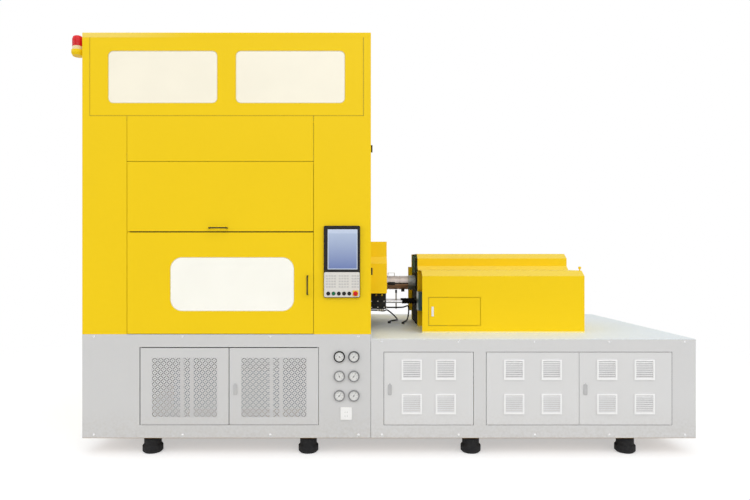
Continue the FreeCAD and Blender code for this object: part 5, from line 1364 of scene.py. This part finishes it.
class BLOW_OT_gauges(MachineOperator):
    """Six dial gauges: housing, bezel, dial with ticks and numbers, needle and glass"""

    bl_idname = "blow_moulder.gauges"
    bl_label = "Pressure Gauges"

    COLUMNS, ROWS = (2263, 2391), (522, 693, 864)
    FINISHES = {(0, 2): "gauge_black", (1, 2): "gauge_dark"}  # the others are grey
    NEEDLES = {(0, 2): -52, (0, 1): -24, (1, 2): 40, (1, 1): 36, (0, 0): 38, (1, 0): 34}
    HOUSING = (
        (0, 0.03), (0.038, 0.03), (0.04, 0.028), (0.04, 0), (0.05, 0), (0.05, -0.011),
        (0.0492, -0.0145), (0.0468, -0.0172), (0.043, -0.018), (0.0405, -0.0168),
        (0.0392, -0.0125), (0.0392, -0.0095),
    )
    DIAL = ((0.0415, -0.0092), (0.0415, -0.0098), (0, -0.0098))
    GLASS = ((0.0418, -0.0142), (0.0418, -0.0152), (0, -0.0152))
    START, SWEEP = math.radians(225), math.radians(-270)
    PRINT_DEPTH, PRINT_HALF = 0.0099, 0.0003
    # Radius, inner and outer reach about it, and half the width.
    TICKS = (0.0362, -0.0018, 0.0018, 0.0002)
    LONG_TICKS = (0.0355, -0.0038, 0.002, 0.00045)
    NUMBERS, NUMBER_STEP, NUMBER_SIZE, NUMBER_RADIUS = 6, 5, 0.0085, 0.0255

    def number(self, text, centre):
        """A number of the scale as a flat mesh."""
        curve = bpy.data.curves.new("number", "FONT")
        curve.body = text
        curve.size = self.NUMBER_SIZE
        curve.align_x = curve.align_y = "CENTER"
        mesh = plain_mesh(put("number", curve), "number")
        mesh.transform(Matrix.Translation(centre) @ Matrix.Rotation(math.pi / 2, 4, "X"))
        mesh.materials.append(finish("needle_black"))
        return put("number", mesh)

    def needle(self, centre, turn):
        """A tapered needle with its tail and hub."""
        work = bmesh.new()
        add_box(work, (-0.0009, -0.0012, -0.011), (0.0009, 0, 0.029))
        add_box(work, (-0.0022, -0.0012, -0.014), (0.0022, 0, -0.004))
        for vert in work.verts:
            if vert.co.z > 0.02:
                vert.co.x *= 0.3
        turned = Matrix.Translation(centre) @ Matrix.Rotation(math.radians(turn), 4, "Y")
        bmesh.ops.transform(work, verts=work.verts, matrix=turned)
        add_lathe(work, centre, "y", [(0.0045, 0), (0.0045, -0.003), (0, -0.0035)], 20)
        piece = put("needle", mesh_from(work, "needle"))
        piece.data.materials.append(finish("needle_black"))
        return piece

    def ticks(self, face, count, radius, inner, outer, half):
        """Ticks that reach from inner to outer about a radius of the dial."""
        thin = self.PRINT_HALF
        tick = box_part("tick", (inner, -thin, -half), (outer, thin, half))
        scale = {"Count": count, "Radius": radius, "Start": self.START, "Sweep": self.SWEEP}
        upright = (math.pi / 2, 0, 0)
        return grown("ticks", ring_tree(), tick, "needle_black", face, Tilt=upright, **scale)

    def gauge(self, column, row):
        """The parts of one gauge, without its glass."""
        centre = at(self.COLUMNS[column], 0, self.ROWS[row])
        face = centre - Vector((0, self.PRINT_DEPTH, 0))
        grey = self.FINISHES.get((column, row), "gauge_plastic")
        pieces = [
            lathe("housing", centre, "y", self.HOUSING, 64, grey),
            lathe("dial", centre, "y", self.DIAL, 64, "dial_white"),
            self.ticks(face, sizes().tick_count, *self.TICKS),
            self.ticks(face, self.NUMBERS, *self.LONG_TICKS),
        ]
        for i in range(self.NUMBERS):
            angle = self.START + self.SWEEP * i / (self.NUMBERS - 1)
            out = self.NUMBER_RADIUS
            spot = Vector((math.cos(angle) * out, -self.PRINT_HALF, math.sin(angle) * out))
            pieces.append(self.number(str(self.NUMBER_STEP * i), face + spot))
        pieces.append(self.needle(face + Vector((0, -0.001, 0)), self.NEEDLES[column, row]))
        return pieces

    def execute(self, context):
        pieces, panes = [], []
        for column, x in enumerate(self.COLUMNS):
            for row, z in enumerate(self.ROWS):
                pieces += self.gauge(column, row)
                panes.append(lathe("glass", at(x, 0, z), "y", self.GLASS, 48, "gauge_glass"))
        dress(joined("gauges", pieces), "machine", ["pressure_gauges"])
        dress(joined("gauge_glasses", panes), "machine")
        return {"FINISHED"}


class BLOW_OT_outlet(MachineOperator):
    """White socket outlet with its dark contact holes"""

    bl_idname = "blow_moulder.outlet"
    bl_label = "Socket Outlet"

    HEIGHTS = (0.62, 0.3)  # of the two rows of holes, as shares of the plate's height
    HALF_WIDTH, HALF_HEIGHT, FRONT, BACK = 0.031, 0.011, 0.003, 0.005

    def execute(self, context):
        folded("socket_outlet", "outlet_plate", "white_plastic", MOULDED_EDGE)
        (x_0, front, z_0), (x_1, _, z_1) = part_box("socket_outlet")
        x = (x_0 + x_1) / 2
        work = bmesh.new()
        for share in self.HEIGHTS:
            z = z_0 + (z_1 - z_0) * share
            low = (x - self.HALF_WIDTH, front + self.FRONT, z - self.HALF_HEIGHT)
            high = (x + self.HALF_WIDTH, front + self.BACK, z + self.HALF_HEIGHT)
            add_box(work, low, high)
        piece = put("outlet_contacts", mesh_from(work, "outlet_contacts", False))
        dress(piece, "machine", material="socket_dark")
        return {"FINISHED"}


class BLOW_OT_operator_panel(MachineOperator):
    """Operator panel: bezel, lit screen, key foil, keys, buttons with rings, emergency stop"""

    bl_idname = "blow_moulder.operator_panel"
    bl_label = "Operator Panel"

    KEY_COLUMNS = {2190: 4, 2302: 4, 2403: 3}  # of the blocks of keys, by their middles
    KEY_Z, KEY_ROWS = 1528, 5
    KEY_CORNERS = (-0.0085, -0.0012, -0.0065), (0.0085, 0.0008, 0.0065)
    KEY_PITCHES = {"Column Pitch": 0.0235, "Row Pitch": 0.024}
    KEY_DEPTH, RING_DEPTH = 0.0018, 0.002  # behind the stop's ring, which stands out the most
    RING = (
        (0.0133, 0.001), (0.0133, -0.0035), (0.0142, -0.004), (0.0165, -0.0032),
        (0.0175, 0.001), (0.0133, 0.001),
    )

    def keys(self, foil):
        """Three blocks of flat grey keys in the upper part of the foil."""
        pieces = []
        for x, columns in self.KEY_COLUMNS.items():
            key = eased(box_part("key", *self.KEY_CORNERS), "key", KEY_EDGE)
            centre = at(x, 0, self.KEY_Z)
            centre.y = foil + self.KEY_DEPTH
            counts = {"Columns": columns, "Rows": self.KEY_ROWS}
            pieces.append(
                grown("keys", grid_tree(), key, "key_grey", centre, **counts, **self.KEY_PITCHES)
            )
        dress(joined("panel_keys", pieces), "machine")

    def execute(self, context):
        folded("control_housing", "panel_housing", "black_plastic", MOULDED_EDGE)
        folded("display_screen", "panel_screen", "screen_glass", FOIL_EDGE)
        folded("key_panel", "panel_foil", "key_foil", FOIL_EDGE)
        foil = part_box("key_panel")[0][Y]
        self.keys(foil)
        rings = []
        for number in range(1, 6):
            (x_0, _, z_0), (x_1, _, z_1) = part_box(f"button_{number}")
            centre = ((x_0 + x_1) / 2, foil + self.RING_DEPTH, (z_0 + z_1) / 2)
            rings.append(lathe("ring", centre, "y", self.RING, 40))
        rings = joined("button_rings", rings)
        dress(rings, "machine", material="black_plastic")
        for number in range(1, 6):
            node = f"button_{number}"
            material = "green_plastic" if number == 2 else "black_plastic"
            folded(node, node + "_cap", material, CAP_EDGE)
        folded("emergency_stop", "stop_mushroom", "red_plastic", CAP_EDGE)
        return {"FINISHED"}


class BLOW_OT_beacon(MachineOperator):
    """Warning beacon: bracket, cream collar and ribbed red lens"""

    bl_idname = "blow_moulder.beacon"
    bl_label = "Beacon"

    # Shares of the lens's radius and height.
    DOME = (
        (0, 0), (1, 0), (1, 0.06), (0.97, 0.08), (0.95, 0.72), (0.86, 0.88), (0.62, 0.97), (0, 1)
    )
    # Shares of the lens's radius, and metres.
    COLLAR = ((0.9, 0), (0.985, 0.001), (0.985, 0.03), (0.96, 0.034), (0, 0.034))

    def execute(self, context):
        folded("beacon_base", "beacon_bracket", "bracket_paint", PANE_EDGE)
        low, high = (Vector(corner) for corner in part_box("beacon_lens"))
        radius, tall = (high.x - low.x) / 2, high.z - low.z
        foot = Vector(((low.x + high.x) / 2, (low.y + high.y) / 2, low.z))
        dome = [(share * radius, height * tall) for share, height in self.DOME]
        count = sizes().lens_ribs
        ribs = grown(
            "ribs",
            ring_tree(),
            box_part("rib", (-0.001, -0.0011, 0), (0.0014, 0.0011, tall * 0.6)),
            "beacon_red",
            foot + Vector((0, 0, tall * 0.1)),
            Count=count,
            Radius=radius * 0.955,
            Start=0.0,
            Sweep=2 * math.pi * (1 - 1 / count),
            Tilt=(0, 0, 0),
        )
        lens = joined("beacon_dome", [lathe("dome", foot, "z", dome, 64, "beacon_red"), ribs])
        dress(lens, "machine", ["beacon_lens"])
        collar = [(share * radius, along) for share, along in self.COLLAR]
        collar = lathe("beacon_collar", foot - Vector((0, 0, 0.034)), "z", collar)
        dress(collar, "machine", material="beacon_cream")
        return {"FINISHED"}


class BLOW_OT_mounts(MachineOperator):
    """Levelling mounts with their caps and studs, and the nuts that lock them"""

    bl_idname = "blow_moulder.mounts"
    bl_label = "Levelling Mounts"

    def execute(self, context):
        folded("levelling_mounts", "mount_feet", "mount_rubber", CAP_EDGE)
        return {"FINISHED"}


class BLOW_OT_injection_unit(MachineOperator):
    """Barrel with heater bands, plate, bellows, guide rods and manifold"""

    bl_idname = "blow_moulder.injection_unit"
    bl_label = "Injection Unit"

    NOZZLE, NECK, BAND, COLLAR = 0.03, 0.07, 0.075, 0.079  # radii of the barrel
    BAND_STEP, BAND_LENGTH, CLAMP = 0.106, 0.092, 0.011
    BALL = 0.019
    POST = (3021, 933, 1573)

    def barrel(self):
        """The nozzle, the neck, four heater bands with clamps, and the ribbed collar."""
        low, high = (Vector(corner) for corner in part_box("barrel"))
        centre = Vector((low.x, (low.y + high.y) / 2, (low.z + high.z) / 2))
        neck, band, collar, end = self.NECK, self.BAND, self.COLLAR, high.x - low.x
        start_of_collar = at(WALL + 424, 0, 0).x - low.x
        shoulder = at(WALL - 81, 0, 0).x - low.x
        profile = [(0, 0), (0.015, 0), (self.NOZZLE, 0.03), (self.NOZZLE, shoulder - neck)]
        profile.append((neck, shoulder))
        starts = [start_of_collar - self.BAND_STEP * step + 0.007 for step in (4, 3, 2, 1)]
        sunk = band - 0.0015
        shape = [(neck, 0), (band - 0.001, 0), (band, 0.001), (band, self.CLAMP)]
        shape += [(sunk, self.CLAMP + 0.001), (sunk, 0.08), (band, 0.081), (band, 0.091)]
        shape += [(band - 0.001, self.BAND_LENGTH), (neck, self.BAND_LENGTH)]
        for start in starts:
            profile += [(radius, start + along) for radius, along in shape]
        profile += [(neck, start_of_collar), (collar - 0.002, start_of_collar)]
        for rib in range(4):
            along = start_of_collar + 0.002 + rib * 0.018
            profile += [(collar, along), (collar, along + 0.013)]
            profile += [(collar - 0.002, along + 0.0145), (collar - 0.002, along + 0.0165)]
        profile += [(collar - 0.002, end), (0, end)]
        work = bmesh.new()
        add_lathe(work, centre, "x", profile, 72)
        half = Vector((0.005, 0.004, 0.004))
        for start in starts:
            for along in (start + 0.006, start + 0.086):
                lug = centre + Vector((along, -0.055, -0.055))
                add_box(work, lug - half, lug + half)
        piece = put("barrel_bands", mesh_from(work, "barrel_bands"))
        dress(piece, "injection_unit", ["barrel"], "heater_metal")

    def fittings(self):
        """Terminal box with its lid, clip, conduit, and the post with its ball and clamps."""
        work = bmesh.new()
        for low, high in (
            ((2743, 1176, 1441), (2819, 1202, 1474)),
            ((2766, 1170, 1447), (2796, 1177, 1468)),
            ((2892, 1256, 1366), (2927, 1284, 1392)),
        ):
            add_box(work, at(*low), at(*high))
        add_rod(work, at(2835, 1262, 1352), "z", 0.011, 0.034, 48)
        foot = at(*self.POST)
        add_rod(work, foot, "z", 0.008, 0.159, 24)
        ball = [(0, -self.BALL)]
        for i in range(1, 12):
            angle = math.pi * i / 12
            ball.append((self.BALL * math.sin(angle), -self.BALL * math.cos(angle)))
        ball.append((0, self.BALL))
        add_lathe(work, foot, "z", ball, 28)
        for z in (1600, 1712):
            add_box(work, at(3008, 922, z), at(3043, 944, z + 16))
        piece = eased(put("work", mesh_from(work, "work")), "barrel_fittings", BAR_EDGE)
        dress(piece, "injection_unit", material="black_plastic")

    def rods(self):
        """The hanging thermocouple rod, and the bow over the terminal box."""
        work = bmesh.new()
        add_rod(work, at(2835, 1262, 1176), "z", 0.007, 0.18, 20)
        for x in (2746, 2816):
            add_rod(work, at(x, 1262, 1536), "z", 0.003, 0.036, 12)
        add_rod(work, at(2743, 1262, 1572), "x", 0.003, 0.076, 12)
        piece = put("barrel_rods", mesh_from(work, "barrel_rods"))
        dress(piece, "injection_unit", material="fitting_zinc")

    def execute(self, context):
        self.barrel()
        folded("injection_unit", "unit_carriage", "carriage_black", MOULDED_EDGE)
        folded("injection_bed", "unit_bed", "bed_enamel", MOULDED_EDGE)
        self.fittings()
        self.rods()
        return {"FINISHED"}


class BLOW_OT_valve_block(MachineOperator):
    """Black valve block with cap screws, yellow port plugs and zinc unions"""

    bl_idname = "blow_moulder.valve_block"
    bl_label = "Valve Block"

    FACE, PORTS = 1030, 1050  # y of the block's front face and of the ports under it
    SCREW = ((0.0065, 0.002), (0.0065, -0.006), (0.0058, -0.007), (0.0034, -0.007), (0, -0.003))
    PLUG = ((0.011, 0.002), (0.011, -0.008), (0.009, -0.011), (0, -0.011))
    UNION = ((0, -0.02), (0.009, -0.02), (0.009, -0.012), (0.014, -0.011), (0.014, 0.002))

    def turned(self, name, places, axis, profile, steps, slot_name, material):
        """The same turned part at several places, as one piece."""
        pieces = [lathe("part", at(WALL + x, y, z), axis, profile, steps) for x, y, z in places]
        dress(joined(name, pieces), "machine", material=material)

    def execute(self, context):
        folded("valve_block", "valve_casting", "valve_metal", sizes().casting_edge)
        slot_name = SLOT_OF["valve_block"]
        screws = [(x, self.FACE, z) for x in (20, 87, 154) for z in (1214, 1277)]
        self.turned("valve_screws", screws, "y", self.SCREW, 24, slot_name, "fitting_zinc")
        plugs = [(x, self.FACE, 1343) for x in (68, 131)]
        self.turned("port_plugs", plugs, "y", self.PLUG, 24, "yellow_paint", "plug_yellow")
        unions = [(x, self.PORTS, 1194) for x in (90, 115, 140)]
        self.turned("port_stubs", unions, "z", self.UNION, 6, slot_name, "fitting_zinc")
        return {"FINISHED"}


class BLOW_OT_inner_works(MachineOperator):
    """Frames, tank, table and clamp inside the panels"""

    bl_idname = "blow_moulder.inner_works"
    bl_label = "Inner Works"

    def execute(self, context):
        edge = sizes().casting_edge
        folded("machine_bed", "bed_slab", "bed_steel", edge)
        folded("rotary_table", "table_disc", "bed_steel", edge)
        folded("tie_bars", "clamp_bars", "chromed_steel", BAR_EDGE)
        folded("clamp_head", "clamp_top", "unit_paint", edge)
        folded("clamp_platen", "clamp_plate", "bed_steel", edge)
        folded("hydraulic_unit", "tank_and_pump", "hydraulic_paint", edge)
        for node in ("base_frame", "tower_frame"):
            mesh = frame["nodes"][node].data
            mesh.materials.clear()
            mesh.materials.append(finish("frame_paint"))
        return {"FINISHED"}


OPERATORS = (
    BLOW_OT_stage,
    BLOW_OT_hoses,
    BLOW_OT_sheet_metal,
    BLOW_OT_doors,
    BLOW_OT_windows,
    BLOW_OT_perforated_doors,
    BLOW_OT_panel_screws,
    BLOW_OT_gauges,
    BLOW_OT_outlet,
    BLOW_OT_operator_panel,
    BLOW_OT_beacon,
    BLOW_OT_mounts,
    BLOW_OT_injection_unit,
    BLOW_OT_valve_block,
    BLOW_OT_inner_works,
)


class BLOW_PT_pieces(Panel):
    """The machine's pieces, each with its button, and the sizes and colours"""

    bl_idname = "BLOW_PT_pieces"
    bl_label = "Blow Moulding Machine"
    bl_space_type = "VIEW_3D"
    bl_region_type = "UI"
    bl_category = "Blow Moulder"

    def draw(self, context):
        for made in OPERATORS:
            self.layout.operator(made.bl_idname)
        for settings in (sizes(), colours()):
            box = self.layout.box()
            for name in settings.__annotations__:
                box.prop(settings, name)


CLASSES = (MachineColours, MachineSizes, *OPERATORS, BLOW_PT_pieces)


def register():
    for made in CLASSES:
        bpy.utils.register_class(made)
    bpy.types.Scene.blow_moulder_colours = PointerProperty(type=MachineColours)
    bpy.types.Scene.blow_moulder_sizes = PointerProperty(type=MachineSizes)


def unregister():
    del bpy.types.Scene.blow_moulder_sizes
    del bpy.types.Scene.blow_moulder_colours
    for made in reversed(CLASSES):
        bpy.utils.unregister_class(made)


def main():
    register()
    for made in OPERATORS:
        family, name = made.bl_idname.split(".")
        getattr(getattr(bpy.ops, family), name)()


if __name__ == "__main__":
    main()
